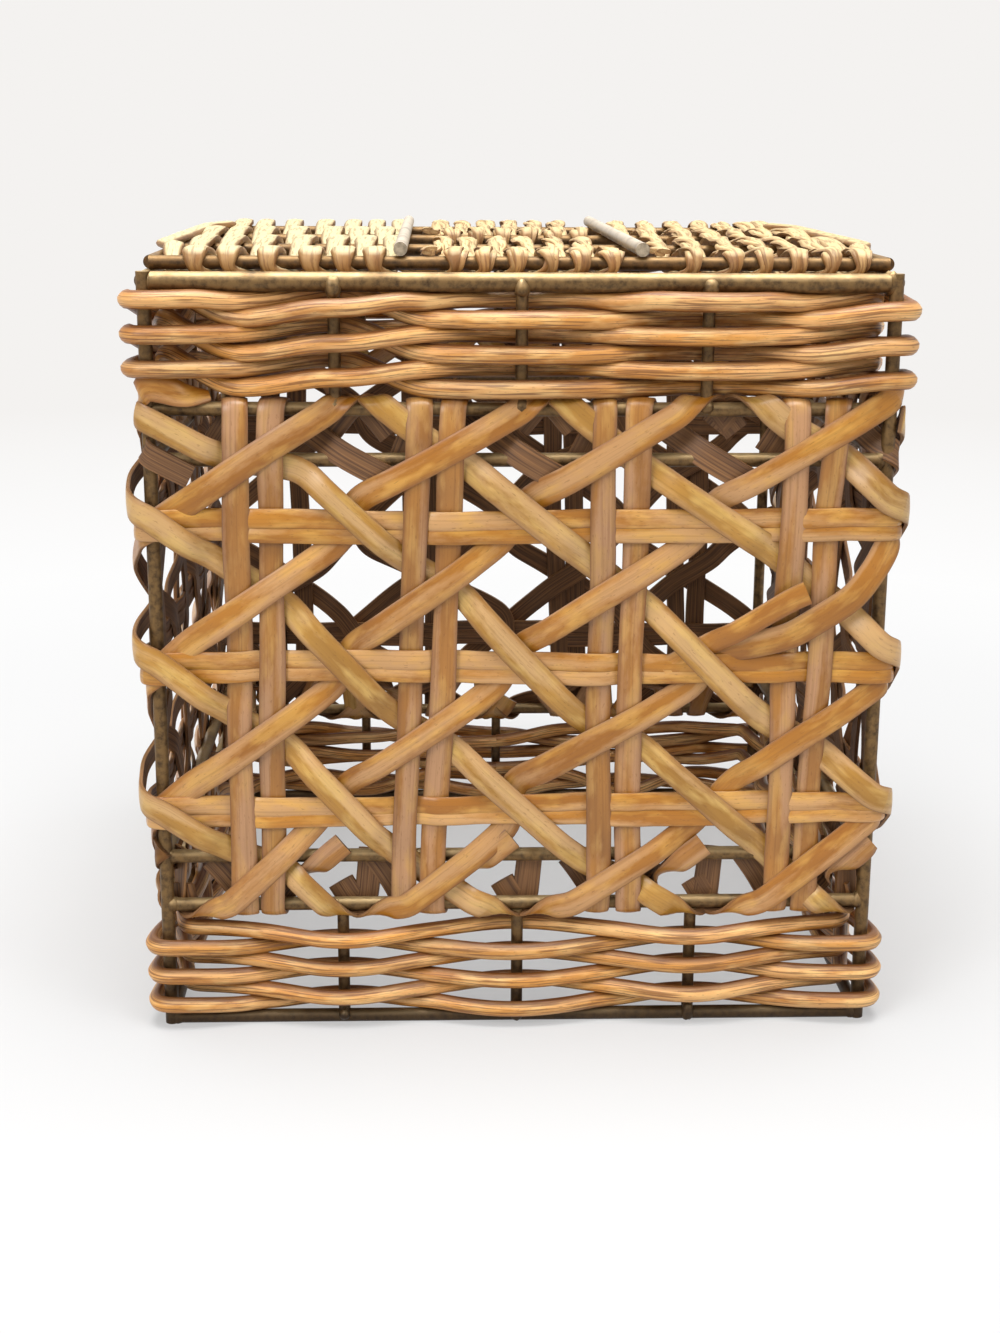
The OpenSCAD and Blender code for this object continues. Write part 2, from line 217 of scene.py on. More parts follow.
@dataclass(frozen=True)
class Perimeter:
    """The four sides as one strip, along which a place is [run, out, up, lean].

    run goes round the cover from the middle of the front towards the right, out is the distance
    outward from the plane of the posts' middles, and lean is how far the strand's face is turned
    up from facing outward. At a corner, what is outside turns about the post's middle, and what
    is inside turns on a small round within it.
    """

    half: float
    corner_run: float = 2.8
    inner_round: float = 1.6

    @property
    def pitch(self) -> float:
        """Run from the middle of one side to the middle of the next."""
        return 2 * self.half + self.corner_run

    @property
    def length(self) -> float:
        """Run of the whole way round."""
        return 4 * self.pitch

    def side(self, run: Array) -> Array:
        """Number of the side at each run, counted on past the whole way round."""
        return np.floor(run / self.pitch + 0.5)

    def first_round(self, run: Array) -> Array:
        """Takes runs that go on past the whole way round back to the first round."""
        start = -self.half - self.corner_run / 2
        return (run - start) % self.length + start

    def place(self, track: Array) -> tuple[Array, Array]:
        """Places a track in space.

        On the flat, x is the run and y the distance out. In a corner both follow the sine and
        cosine of a turn that grows with the run. Each side is then turned to its own quarter.

        Args:
            track: The track.

        Returns:
            The points, and the directions in which the strand's face looks.
        """
        run, out, up, lean = track.T
        side = self.side(run)
        along = run - side * self.pitch
        way, far = np.sign(along), np.abs(along)
        inner = self.half + np.minimum(out, 0) - self.inner_round
        inside = (out < 0) & (far > inner)
        outer_turn = np.clip((far - self.half) / self.corner_run, 0, 0.5) * np.pi / 2
        rest = self.half + self.corner_run / 2 - inner
        inner_turn = np.clip((far - inner) / rest, 0, 1) * np.pi / 4
        turn = np.where(inside, inner_turn, outer_turn)
        start = np.where(inside, inner, np.minimum(far, self.half))
        reach = np.where(inside, self.inner_round, np.where(far > self.half, out, 0))
        level = np.where(inside, inner, self.half + np.where(far > self.half, 0, out))
        x = way * (start + reach * np.sin(turn))
        y = -(level + reach * np.cos(turn))
        face_x, face_y = way * np.sin(turn), -np.cos(turn)
        c, s = np.cos(side * np.pi / 2), np.sin(side * np.pi / 2)
        points = np.stack([c * x - s * y, s * x + c * y, up], axis=1)
        outward = np.stack([c * face_x - s * face_y, s * face_x + c * face_y, 0 * up], axis=1)
        faces = outward * np.cos(lean)[:, None] + np.array([0, 0, 1]) * np.sin(lean)[:, None]
        return points, faces


@dataclass(frozen=True)
class Section:
    """Outline of a strand's cross-section, counter-clockwise when seen against its run.

    across goes over the strand's width from -1 to 1, and proud is the height over its middle in
    millimetres. inner is 1 on the fibrous inside of a split cane. edge is 1 on a cane's cut edges,
    and on a reed's two sides that lie against its neighbours, where a darker colour goes that is
    partly the edges' own and partly painted shade.
    """

    across: Array
    proud: Array
    inner: Array
    edge: Array

    @classmethod
    def split_cane(cls, thickness: float) -> "Section":
        """A flat strip with a domed peel: height falls with the square of the place across.

        Args:
            thickness: Its thickness at the middle, about.

        Returns:
            The section.
        """
        outer = np.array([-0.99, -0.9, -0.62, -0.22, 0.22, 0.62, 0.9, 0.99])
        under = np.array([0.93, 0.35, -0.35, -0.93])
        dome = thickness * (0.26 + 0.3 * (1 - outer ** 2) - 0.1 * (np.abs(outer) > 0.95))
        return cls(
            across=np.concatenate([outer, under]),
            proud=np.concatenate([dome, np.full(4, -0.42 * thickness)]),
            inner=np.array([0.6] + [0] * 6 + [0.6] + [1] * 4),
            edge=np.array([1, 0.85, 0.1, 0, 0, 0.1, 0.85, 1, 0.5, 0, 0, 0.5]),
        )

    @classmethod
    def round_reed(cls, high: float, sides: int, grooves: float, power: float = 1.0) -> "Section":
        """A rod of reed: an ellipse whose radius waves three and five times round.

        Args:
            high: Half of its height.
            sides: Points round it.
            grooves: Depth of its grooves, as a share of its radius.
            power: 1 for an ellipse, and less for one that is drawn out towards a rectangle.

        Returns:
            The section.
        """
        angle = np.arange(sides) * TAU / sides
        radius = 1 + grooves * (0.6 * np.sin(5 * angle + 1) + 0.4 * np.sin(3 * angle + 2.2))
        c, s = np.cos(angle), np.sin(angle)
        return cls(
            across=-radius * np.sign(c) * np.abs(c) ** power,
            proud=radius * np.sign(s) * np.abs(s) ** power * high,
            inner=np.zeros(sides),
            edge=np.clip((np.abs(c) - 0.55) / 0.4, 0, 1),
        )

    def rings(self, line: Array, faces: Array, half_width: Array) -> Array:
        """Carries the section along a line, its width square to the line and to its face.

        Args:
            line: The strand's middle line.
            faces: The way that its face looks at each station.
            half_width: Half of its width at each station.

        Returns:
            Points by station and by place round the section.
        """
        along = unit(np.gradient(line, axis=0))
        across = unit(np.cross(along, faces))
        spread = across[:, None] * (half_width[:, None] * self.across)[:, :, None]
        height = np.cross(across, along)[:, None] * self.proud[None, :, None]
        return line[:, None] + spread + height


MARKS = ("inner", "edge", "tone")
# At its cut ends a strand shows most of its raw inside, and no edge.
END_MARKS = (0.8, 0.0)
# A pattern moved along a strand is moved around it by this many times as much.
AROUND_SHIFT = 7.3
# Edges that bend by more than this are shaded as sharp.
SHARP_ANGLE = math.radians(62)


def linked(name: str, data: Any) -> bpy.types.Object:
    """Makes an object and adds it to the scene.

    Args:
        name: Its name.
        data: Its mesh, camera or lamp.

    Returns:
        The object.
    """
    made = bpy.data.objects.new(name, data)
    bpy.context.scene.collection.objects.link(made)
    return made


def meshed(name: str, points: Any, faces: Any, material: Material) -> bpy.types.Object:
    """Makes an object of faces and adds it to the scene.

    Args:
        name: Its name.
        points: Rows of [x, y, z], in metres.
        faces: The numbers of each face's points.
        material: Its finish.

    Returns:
        The object.
    """
    mesh = bpy.data.meshes.new(name)
    mesh.from_pydata(points, [], faces)
    mesh.materials.append(material)
    return linked(name, mesh)


def tube_faces(rings: int, sides: int) -> tuple[Array, Array]:
    """Numbers the faces of a tube of rings, closed at each end by a fan round one more point.

    Args:
        rings: How many rings it has.
        sides: Points in each.

    Returns:
        The points of each quad, and those of each triangle of the fans.
    """
    index = np.arange(rings * sides).reshape(rings, sides)
    right = np.roll(index, -1, axis=1)
    quads = np.stack([index[:-1], right[:-1], right[1:], index[1:]], axis=-1)
    first, last = (np.full(sides, rings * sides + end) for end in (0, 1))
    fans = np.stack([[first, right[0], index[0]], [last, index[-1], right[-1]]])
    return quads.reshape(-1, 4), fans.swapaxes(1, 2).reshape(-1, 3)


@dataclass
class StrandMesh:
    """Collects swept strands and makes them one object.

    Each part has a strand's points, quads, fans at its ends, the grain maps of both and marks.
    """

    parts: list[tuple[Array, ...]] = field(default_factory=list)
    count: int = 0

    def add(self, rings: Array, along: Array, section: Section, tone: float, shift: float) -> None:
        """Adds one strand, closed at both ends.

        Its grain map holds the distance along it and the distance round its middle ring.

        Args:
            rings: Points by station and by place round the section.
            along: Distance of each station along the strand.
            section: The cross-section, for its marks.
            tone: How much lighter than its fellows it is, from -1 to 1.
            shift: How far its grain is moved along it.
        """
        n, k = rings.shape[:2]
        faces = [group + self.count for group in tube_faces(n, k)]
        girth = np.linalg.norm(np.roll(rings[n // 2], -1, axis=0) - rings[n // 2], axis=1)
        v = np.concatenate([[0], np.cumsum(girth)]) + AROUND_SHIFT * shift
        u = along + shift
        quad_u = np.stack([u[:-1], u[:-1], u[1:], u[1:]], axis=-1)[:, None]
        quad_v = np.stack([v[:-1], v[1:], v[1:], v[:-1]], axis=-1)[None]
        cap_v = np.stack([np.full(k, v.mean()), v[1:], v[:-1]], axis=1)[None]
        grains = (
            np.stack(np.broadcast_arrays(*pair), axis=-1).reshape(-1, 2)
            for pair in ((quad_u, quad_v), (u[[0, -1], None, None], cap_v))
        )
        points = np.concatenate([rings.reshape(-1, 3), rings[[0, -1]].mean(axis=1)])
        marks = np.stack([np.tile(section.inner, n), np.tile(section.edge, n)], axis=1)
        marks = np.concatenate([marks, [END_MARKS] * 2])
        marks = np.column_stack([marks, np.full(len(marks), tone)])
        self.parts.append((points, *faces, *grains, marks))
        self.count += len(points)

    def build(self, name: str, slot: str, material: Material, node: str) -> None:
        """Makes the object and places it in the cover.

        Args:
            name: The piece's name.
            slot: Not used.
            material: Its finish.
            node: The solid that it stands for.
        """
        points, quads, fans, *grain, marks = (np.concatenate(part) for part in zip(*self.parts))
        piece = meshed(name, points * MM, quads.tolist() + fans.tolist(), material)
        mesh = piece.data
        grain = np.concatenate(grain).astype(np.float32)
        mesh.uv_layers.new(name="grain").data.foreach_set("uv", grain.ravel())
        for mark, values in zip(MARKS, marks.astype(np.float32).T):
            layer = mesh.attributes.new(mark, "FLOAT", "POINT")
            layer.data.foreach_set("value", np.ascontiguousarray(values))
        mesh.validate()
        mesh.shade_smooth()
        mesh.set_sharp_from_angle(angle=SHARP_ANGLE)
        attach(piece, BODY)
        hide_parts(node)
        log.info("%s: %d strands, %d faces", name, len(self.parts), len(quads) + len(fans))


@dataclass
class Hand:
    """The small unevenness of hand work, the same on each run."""

    seed: int
    random: np.random.Generator = field(init=False)

    def __post_init__(self) -> None:
        """Starts the random numbers."""
        self.random = np.random.default_rng(self.seed)

    def wander(self, at: Array, reach: float, wave: float) -> Array:
        """A slow sway: the sum of three sine waves of about the given length.

        Args:
            at: Distances along the strand.
            reach: The most that it sways, about.
            wave: Length of the middle wave.

        Returns:
            The sway at each distance.
        """
        lengths = wave * self.random.uniform((0.5, 0.8, 1.4), (0.7, 1.2, 2.0))
        phases = self.random.uniform(0, TAU, 3)
        shares = np.array([0.25, 0.45, 0.5])
        return reach * (shares * np.sin(TAU * at[:, None] / lengths + phases)).sum(axis=1)

    def near(self, value: float, spread: float) -> float:
        """A value drawn evenly from within spread of the given one."""
        return value + self.random.uniform(-spread, spread)


# Finishes


def linear(code: str) -> tuple[float, float, float, float]:
    """Turns an sRGB hex colour to linear light.

    Args:
        code: The colour, such as "#C8924A".

    Returns:
        Red, green, blue and an alpha of 1.
    """
    srgb = np.array([int(code[i:i + 2], 16) for i in (1, 3, 5)]) / 255
    light = np.where(srgb <= 0.04045, srgb / 12.92, ((srgb + 0.055) / 1.055) ** 2.4)
    return (*light.tolist(), 1.0)


def add(
    tree: Tree, kind: str, inputs: dict[Any, Any] | None = None, out: Any = 0, **settings: Any,
) -> Any:
    """Adds a shader node with its settings and links.

    Args:
        tree: The material's nodes.
        kind: The node's type.
        inputs: Socket name or number to a value, or to an output that is linked to it.
        out: Name or number of the output that is wanted.
        settings: The node's own properties.

    Returns:
        The output, or None from a node without one.
    """
    made = tree.nodes.new(kind)
    for name, value in settings.items():
        setattr(made, name, value)
    for name, value in (inputs or {}).items():
        if isinstance(value, bpy.types.NodeSocket):
            tree.links.new(value, made.inputs[name])
        else:
            made.inputs[name].default_value = value
    return made.outputs[out] if made.outputs else None


def layered(tree: Tree, ground: str, layers: Sequence[tuple[Any, float, float, Any, Any]]) -> Any:
    """Lays colours over one another, each by its strength times its pattern's rise.

    The rise goes from 0 at the pattern's low value to 1 at its high one.

    Args:
        tree: The material's nodes.
        ground: The lowest colour.
        layers: Each with its pattern, the low and high values, its strength and its colour.

    Returns:
        The output of the colour that shows.
    """
    colour = linear(ground)
    for pattern, low, high, strength, over in layers:
        span = {"Value": pattern, "From Min": low, "From Max": high}
        product = {0: add(tree, "ShaderNodeMapRange", span), 1: strength}
        share = add(tree, "ShaderNodeMath", product, operation="MULTIPLY")
        both = {0: share, 6: colour, 7: linear(over) if isinstance(over, str) else over}
        colour = add(tree, "ShaderNodeMix", both, 2, data_type="RGBA")
    return colour


@dataclass(frozen=True)
class Finish:
    """A named finish, whose kinds give it a surface."""

    name: str

    def surface(self, tree: Tree) -> Any:
        """Adds the finish's nodes, and returns its shader's output."""
        raise NotImplementedError

    def facing_up(self, tree: Tree) -> Any:
        """How far a face looks up: the height of its normal, whose length is 1."""
        normal = add(tree, "ShaderNodeNewGeometry", out="Normal")
        return add(tree, "ShaderNodeSeparateXYZ", {0: normal}, "Z")

    def material(self) -> Material:
        """Makes a material of the finish.

        Returns:
            The material.
        """
        material = bpy.data.materials.new(self.name)
        material.use_nodes = True
        tree = material.node_tree
        tree.nodes.clear()
        add(tree, "ShaderNodeOutputMaterial", {"Surface": self.surface(tree)})
        return material


@dataclass(frozen=True)
class PlantFinish(Finish):
    """Varnished rattan, as split peel or as core reed.

    The pattern follows each strand on its own grain map, in millimetres along and around it.
    Long streaks are the vascular bundles of the stem, about a third of a millimetre apart, which
    the eye sees as fine lines. Zones run along the strand where the colour is pale, partly where
    the varnish lies thin and partly as painted sheen. Patches are ragged spots of a brighter
    yellow, partly glaze and partly painted highlight. Cut edges, and the sides where strands lie
    against each other, take a darker colour, partly their own and partly painted shade. A face
    that looks up can be painted paler, as painted top light.
    """

    deep: str
    body: str
    # pale is partly painted sheen, light partly painted highlight, edge partly painted shade.
    pale: str
    light: str
    edge: str
    edge_and_shade_share: float
    fibre_dark: str
    fibre_light: str
    streak: str
    streak_share: float
    streak_from: float
    streak_to: float
    streak_mm: float
    streak_long_mm: float
    zone_mm: float
    patch_mm: float
    patch_share: float
    roughness: float
    relief_mm: float
    coat: float
    # The painted top light: its colour, and its share on faces that look up.
    lit_top: str = "#FFFFFF"
    lit_top_share: float = 0.0

    def surface(self, tree: Tree) -> Any:
        """Adds the finish's nodes.

        Args:
            tree: The material's nodes.

        Returns:
            The shader's output.
        """
        grain = add(tree, "ShaderNodeUVMap", uv_map="grain")
        inner, edge, tone = (
            add(tree, "ShaderNodeAttribute", out="Fac", attribute_name=mark) for mark in MARKS
        )

        def grained(along_mm: float, around_mm: float, detail: float) -> Any:
            """Adds noise drawn out along the grain.

            Args:
                along_mm: Its size along the grain.
                around_mm: Its size around the strand.
                detail: How many times finer noise is added to it.

            Returns:
                The output of its value.
            """
            scale = (1 / along_mm, 1 / around_mm, 1)
            place = add(tree, "ShaderNodeMapping", {"Vector": grain, "Scale": scale})
            noise = {"Vector": place, "Scale": 1.0, "Detail": detail, "Roughness": 0.55}
            return add(tree, "ShaderNodeTexNoise", noise, "Fac", noise_dimensions="2D")

        # Zones and patches have an outline that finer noise makes ragged. A strand's tone
        # brightens it by up to 16 %, and its raw inside is rougher than its peel.
        ragged = grained(2.2, 0.7, 4)
        zone, patch, brightness, rough = (
            add(tree, "ShaderNodeMath", {0: value, 1: by, 2: plus}, operation="MULTIPLY_ADD")
            for value, by, plus in (
                (ragged, 0.12, grained(45, self.zone_mm, 1)),
                (ragged, 0.16, grained(self.patch_mm, 2.8, 2)),
                (tone, 0.16, 1.0),
                (inner, 0.35, self.roughness),
            )
        )
        streak = grained(self.streak_long_mm, self.streak_mm, 2)
        fibre = layered(
            tree, self.fibre_dark, [(grained(26, 0.34, 3), 0.3, 0.72, 1, self.fibre_light)],
        )
        # Faces that look up are painted paler, as painted top light.
        lit_top_layer = []
        if self.lit_top_share:
            lit_top_layer = [(self.facing_up(tree), 0.5, 0.85, self.lit_top_share, self.lit_top)]
        colour = layered(tree, self.deep, [
            (grained(28, 6, 2), 0.36, 0.62, 1, self.body),
            # Pale zones: partly painted sheen. Patches: partly painted highlight.
            (zone, 0.51, 0.65, 0.85, self.pale),
            (patch, 0.55, 0.78, self.patch_share, self.light),
            *lit_top_layer,
            (streak, self.streak_from, self.streak_to, self.streak_share, self.streak),
            (grained(1.5, 0.35, 2), 0.66, 0.74, 0.35, self.streak),
            # Darker edges: partly their own colour, partly painted shade.
            (edge, 0, 1, self.edge_and_shade_share, self.edge),
            (inner, 0, 1, 1, fibre),
        ])
        toned = {"Value": brightness, "Color": colour}
        relief = {"Height": streak, "Strength": 0.6, "Distance": self.relief_mm * MM}
        return add(tree, "ShaderNodeBsdfPrincipled", {
            "Base Color": add(tree, "ShaderNodeHueSaturation", toned),
            "Roughness": rough,
            "Normal": add(tree, "ShaderNodeBump", relief),
            "IOR": 1.5,
            "Coat Weight": self.coat,
            "Coat Roughness": 0.22,
        })


# Split peel of rattan under varnish: a smooth waxy skin, so broad soft highlights, honey in
# colour with paler zones, partly where the skin has worn and partly painted sheen. Its brighter
# patches are partly painted highlight, its edges are darker partly by painted shade, and its
# inside is raw brown fibre.
CANE_PEEL = PlantFinish(
    name="varnished_rattan_peel", deep="#A2661C", body="#B97A24", pale="#CC9C68", light="#DDA850",
    edge="#85511E", edge_and_shade_share=0.58, fibre_dark="#50331D", fibre_light="#8F643B", streak="#75461A",
    streak_share=0.2, streak_from=0.5, streak_to=0.7, streak_mm=0.45, streak_long_mm=26,
    zone_mm=4.2, patch_mm=9, patch_share=0.6, roughness=0.36, relief_mm=0.03, coat=0.1,
)
# The standing canes have a browner and duller peel.
STANDING_PEEL = replace(
    CANE_PEEL, name="browner_rattan_peel", deep="#9C672C", body="#B17834", pale="#BE9068",
    light="#CC9C54", edge="#784820", streak_share=0.3,
)
# The level canes lie edge to edge, and their edges take little of the darker edge colour and
# painted shade.
LEVEL_PEEL = replace(CANE_PEEL, name="close_laid_rattan_peel", edge_and_shade_share=0.12, pale="#CFA06A")
# The falling canes have a yellower, less ripe peel.
FALLING_PEEL = replace(
    CANE_PEEL, name="yellower_rattan_peel", deep="#A4742A", body="#BC8A3A", pale="#D0A670",
    light="#DDB668",
)
# Core of rattan drawn to a round rod: open pores under varnish, so a dark grooved grain, and a
# darker colour where the reeds lie against each other, partly stain and partly painted shade.
# Its brighter patches are partly painted highlight.
BAND_REED = PlantFinish(
    name="varnished_rattan_core", deep="#BE7F3A", body="#D99848", pale="#E2AC6C", light="#F2C480",
    edge="#66340F", edge_and_shade_share=0.85, fibre_dark="#5E3C20", fibre_light="#A67A4A", streak="#683B15",
    streak_share=0.7, streak_from=0.5, streak_to=0.62, streak_mm=0.36, streak_long_mm=12,
    zone_mm=3.5, patch_mm=9, patch_share=0.7, roughness=0.45, relief_mm=0.14, coat=0.05,
)
# The same core left raw: tan at its sides, and painted a pale cream on top as painted top
# light. Where reeds lie against each other it is darker, partly as painted shade.
TOP_REED = PlantFinish(
    name="pale_rattan_core", deep="#8C5E2E", body="#9C6E3A", pale="#B08652", light="#BE9862",
    edge="#7A5024", edge_and_shade_share=0.6, fibre_dark="#A57B47", fibre_light="#D9BA84", streak="#6E441E",
    streak_share=0.5, streak_from=0.54, streak_to=0.64, streak_mm=0.42, streak_long_mm=5,
    zone_mm=2.5, patch_mm=5, patch_share=0.6, roughness=0.55, relief_mm=0.16, coat=0.0,
    lit_top="#DCCE9E", lit_top_share=0.9,
)
# The other panels' reed has a yellower painted top light, and more streaks.
TOP_REED_TAN = replace(
    TOP_REED, name="tan_rattan_core", lit_top="#E0C690", lit_top_share=0.88, streak_share=0.6,
)


@dataclass(frozen=True)
class RodPaint(Finish):
    """Aged bronze paint on steel rod: thin, brushed unevenly, rubbed to a dull gold on top.

    Towards the floor it is darkened by painted shade, and its gold on top is partly rubbed wear
    and partly painted top light. Its mottle is a millimetre or so wide, and what is rubbed
    changes over about a centimetre.
    """

    name: str = "aged_bronze_paint"
    dark: str = "#45321C"
    body: str = "#7C5F38"
    # Top colour: partly rubbed wear, partly painted top light. Low colour: painted shade.
    wear_and_top_light: str = "#C6AA7A"
    low_shade: str = "#2A1C10"
    mottle_mm: float = 1.3
    run_mm: float = 9.0
    low_shade_mm: float = 26.0

    def surface(self, tree: Tree) -> Any:
        """Adds the finish's nodes.

        Args:
            tree: The material's nodes.

        Returns:
            The shader's output.
        """
        place = add(tree, "ShaderNodeTexCoord", out="Object")
        fine, broad = (
            add(tree, "ShaderNodeTexNoise", {
                "Vector": place, "Scale": 1 / (size * MM), "Detail": detail, "Roughness": 0.6,
            }, "Fac")
            for size, detail in ((self.mottle_mm, 4), (self.run_mm, 2))
        )
        height = add(tree, "ShaderNodeSeparateXYZ", {0: place}, "Z")
        worn = add(tree, "ShaderNodeMapRange", {"Value": broad, "From Min": 0.25, "From Max": 0.5})
        rough = {"Value": fine, "From Min": 0.3, "From Max": 0.7, "To Min": 0.34, "To Max": 0.6}
        colour = layered(tree, self.dark, [
            (fine, 0.3, 0.6, 1, self.body),
            # Faces that look up: partly rubbed wear, partly painted top light.
            (self.facing_up(tree), 0.15, 1.1, worn, self.wear_and_top_light),
            # Darker towards the floor: painted shade.
            (height, self.low_shade_mm * MM, 0.0, 0.75, self.low_shade),
        ])
        relief = {"Height": fine, "Strength": 0.5, "Distance": 0.12 * MM}
        return add(tree, "ShaderNodeBsdfPrincipled", {
            "Base Color": colour,
            "Metallic": 0.55,
            "Roughness": add(tree, "ShaderNodeMapRange", rough),
            "Normal": add(tree, "ShaderNodeBump", relief),
        })


# The rods beside the opening have lost most of their colour to a pale grey.
WORN_PAINT = RodPaint(name="worn_grey_paint", dark="#7E705E", body="#B8A890", wear_and_top_light="#DDD0BC")
# Under the top's reed the paint is darker and less rubbed, as painted shade from the reed.
REED_SHADED_PAINT = RodPaint(
    name="reed_shaded_bronze_paint", dark="#3A2A1A", body="#6A4C2A", wear_and_top_light="#927244",
)


# The photograph's camera


@dataclass(frozen=True)
class PhotoCamera:
    """The camera that took the photograph, found from the posts and rails in it.

    place is in millimetres, with x to the right, y away from the camera and z up. The focal
    length is in pixels of an image of the given size, whose middle is on the camera's axis.
    """

    place: tuple[float, float, float] = (-15.2, -409.6, 161.2)
    yaw: float = math.radians(1.95)
    pitch: float = math.radians(14.93)
    roll: float = math.radians(0.33)
    focal_px: float = 1970.6
    width_px: int = 1000
    height_px: int = 1333

    def axes(self) -> tuple[Array, Array, Array]:
        """Works out the camera's directions from its yaw, pitch and roll.

        Returns:
            Its right, up and forward directions.
        """
        cos_y, sin_y, cos_p = math.cos(self.yaw), math.sin(self.yaw), math.cos(self.pitch)
        forward = np.array([sin_y * cos_p, cos_y * cos_p, -math.sin(self.pitch)])
        level = np.array([cos_y, -sin_y, 0])
        above = np.cross(level, forward)
        c, s = math.cos(self.roll), math.sin(self.roll)
        return c * level + s * above, c * above - s * level, forward

    def on_plane(self, pixels: Sequence[tuple[float, float]], y: float) -> Array:
        """Finds where the rays through pixels meet an upright plane.

        Args:
            pixels: Places in the photograph, from its top left corner.
            y: The plane's place.

        Returns:
            Rows of [x, z], in millimetres.
        """
        right, above, forward = self.axes()
        px = np.asarray(pixels, float)
        across = (px[:, :1] - self.width_px / 2) / self.focal_px
        down = (px[:, 1:] - self.height_px / 2) / self.focal_px
        rays = forward + across * right - down * above
        reach = (y - self.place[1]) / rays[:, 1:2]
        return (np.array(self.place) + reach * rays)[:, [0, 2]]

    def make(self) -> None:
        """Adds the camera to the scene."""
        data = bpy.data.cameras.new("photo_camera")
        data.sensor_fit = "HORIZONTAL"
        data.lens = self.focal_px * data.sensor_width / self.width_px
        data.clip_start = 0.01
        camera = linked("photo_camera", data)
        right, above, forward = self.axes()
        turn = Matrix([right, above, -forward]).transposed().to_4x4()
        camera.matrix_world = Matrix.Translation(Vector(self.place) * MM) @ turn
        bpy.context.scene.camera = camera


# Woven parts


@dataclass
class TwinedBand:
    """A band of rows of two reeds each, which pass the posts and the stakes in turn.

    A reed swings from outside to inside on a cosine of its run. Midway between two uprights one
    of the pair is a reed's thickness over the other, and its height goes from upright to middle
    to upright on half waves of a cosine.

    lift is how far the reed before each upright of the front is over the row's own height, and
    split how far the reed behind that upright is over it. slack bounds the pair's height midway,
    fill a drawn split, and rails has the height and radius of the rods under and over the band.
    """

    name: str
    sizes: CoverSizes
    perimeter: Perimeter
    hand: Hand
    reed_d: float
    solid_reed_d: float
    lift: tuple[float, ...]
    split: tuple[float, ...]
    slack: tuple[float, float]
    fill: tuple[float, float]
    rails: tuple[tuple[float, float], tuple[float, float]]
    sides: int
    grooves: float
    rows: int = 3
    spans: int = 4
    step: float = 0.8

    def courses(self) -> tuple[Array, Array, Array]:
        """Sets the lifts and splits at all uprights, measured on the front and drawn elsewhere.

        Returns:
            The runs of the uprights, the lifts and the splits there.
        """
        random, half = self.hand.random, self.perimeter.half
        runs, lifts, splits = [], [], []
        for side in range(4):
            lift, split = list(self.lift), list(self.split)
            if side > 0:
                lift = [lifts[-1], *random.uniform(-1.0, 0.9, self.spans)]
                drawn = random.choice((-1, 1), self.spans) * random.uniform(*self.fill, self.spans)
                split = [splits[-1], *drawn]
            if side == 3:
                lift[-1], split[-1] = self.lift[0], self.split[0]
            base = side * self.perimeter.pitch - half
            runs += [base + i * (2 * half / self.spans) for i in range(self.spans + 1)]
            lifts += lift
            splits += split
        return np.array(runs), np.array(lifts), np.array(splits)

    def reed(self, height: float, phase: int, courses: tuple[Array, Array, Array]) -> Array:
        """Track of one of a row's two reeds, once round the cover.

        Args:
            height: The row's own height.
            phase: 1 for the reed that passes outside the posts, -1 for the other.
            courses: Where the row's reeds are at each upright.

        Returns:
            The track.
        """
        perimeter, reed_r = self.perimeter, self.reed_d / 2
        runs, lifts, splits = courses
        before = phase * np.where(np.arange(len(runs)) % (self.spans + 1) % 2 == 0, 1, -1) > 0
        at_upright = height + lifts + np.where(before, 0, splits)
        middle = lifts + splits / 2
        middle = np.clip(middle[:-1] + np.diff(middle) / 2, *self.slack)
        above = np.where(np.diff(splits) >= 0, 1, -1) * np.where(before[:-1], 1, -1)
        at_middle = height + middle + above * (self.reed_d + self.sizes.gap) / 2
        within = np.diff(runs) > perimeter.corner_run * 2
        knots = np.concatenate([runs, ((runs[:-1] + runs[1:]) / 2)[within]])
        ups = np.concatenate([at_upright, at_middle[within]])
        order = np.argsort(knots)
        # The reed's two ends meet behind an upright of the back.
        start = 2 * perimeter.pitch - (perimeter.half / 2 if phase > 0 else 0)
        run = np.linspace(start, start + perimeter.length, 1400)
        along = run - perimeter.side(run) * perimeter.pitch
        turn = (np.clip(along / perimeter.half, -1, 1) + 1) * self.spans / 2
        reach = self.sizes.post_r + self.sizes.gap + reed_r
        out = phase * reach * np.cos(np.pi * turn) * (1 + self.hand.wander(run, 0.05, 60))
        up = eased(perimeter.first_round(run), knots[order], ups[order])
        up = up + self.hand.wander(run, 0.1, 40)
        # The reed stays a reed's and a rod's radius clear of the rails' middles.
        lowest, highest = (
            z + way * np.sqrt(np.maximum((r + reed_r) ** 2 - out ** 2, 0))
            for way, (z, r) in zip((1, -1), self.rails)
        )
        return np.stack([run, out, np.clip(up, lowest, highest), 0 * run], axis=1)

    def build(self, material: Material) -> None:
        """Makes one piece for each row, the rows evenly spread over the band's solid.

        Args:
            material: The reed's finish.
        """
        node, reed_r = f"{self.name}_reeds", self.reed_d / 2
        low, high = (corner[2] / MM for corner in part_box(node))
        first, last = low + self.solid_reed_d, high - self.solid_reed_d
        section = Section.round_reed(reed_r, self.sides, self.grooves)
        for row in range(self.rows):
            mesh, courses = StrandMesh(), self.courses()
            height = first + (last - first) * row / (self.rows - 1)
            for phase in (1, -1):
                points, faces = self.perimeter.place(self.reed(height, phase, courses))
                line, along = stations(np.column_stack([points, faces]), self.step, 3)
                half_width = reed_r * (1 + self.hand.wander(along, 0.06, 70))
                rings = section.rings(line[:, :3], line[:, 3:], half_width)
                mesh.add(rings, along, section, self.hand.near(0, 0.8), self.hand.near(500, 400))
            mesh.build(f"{self.name}_row_{row + 1}", "band_reed", material, node)


Pixels = tuple[tuple[float, float], ...]

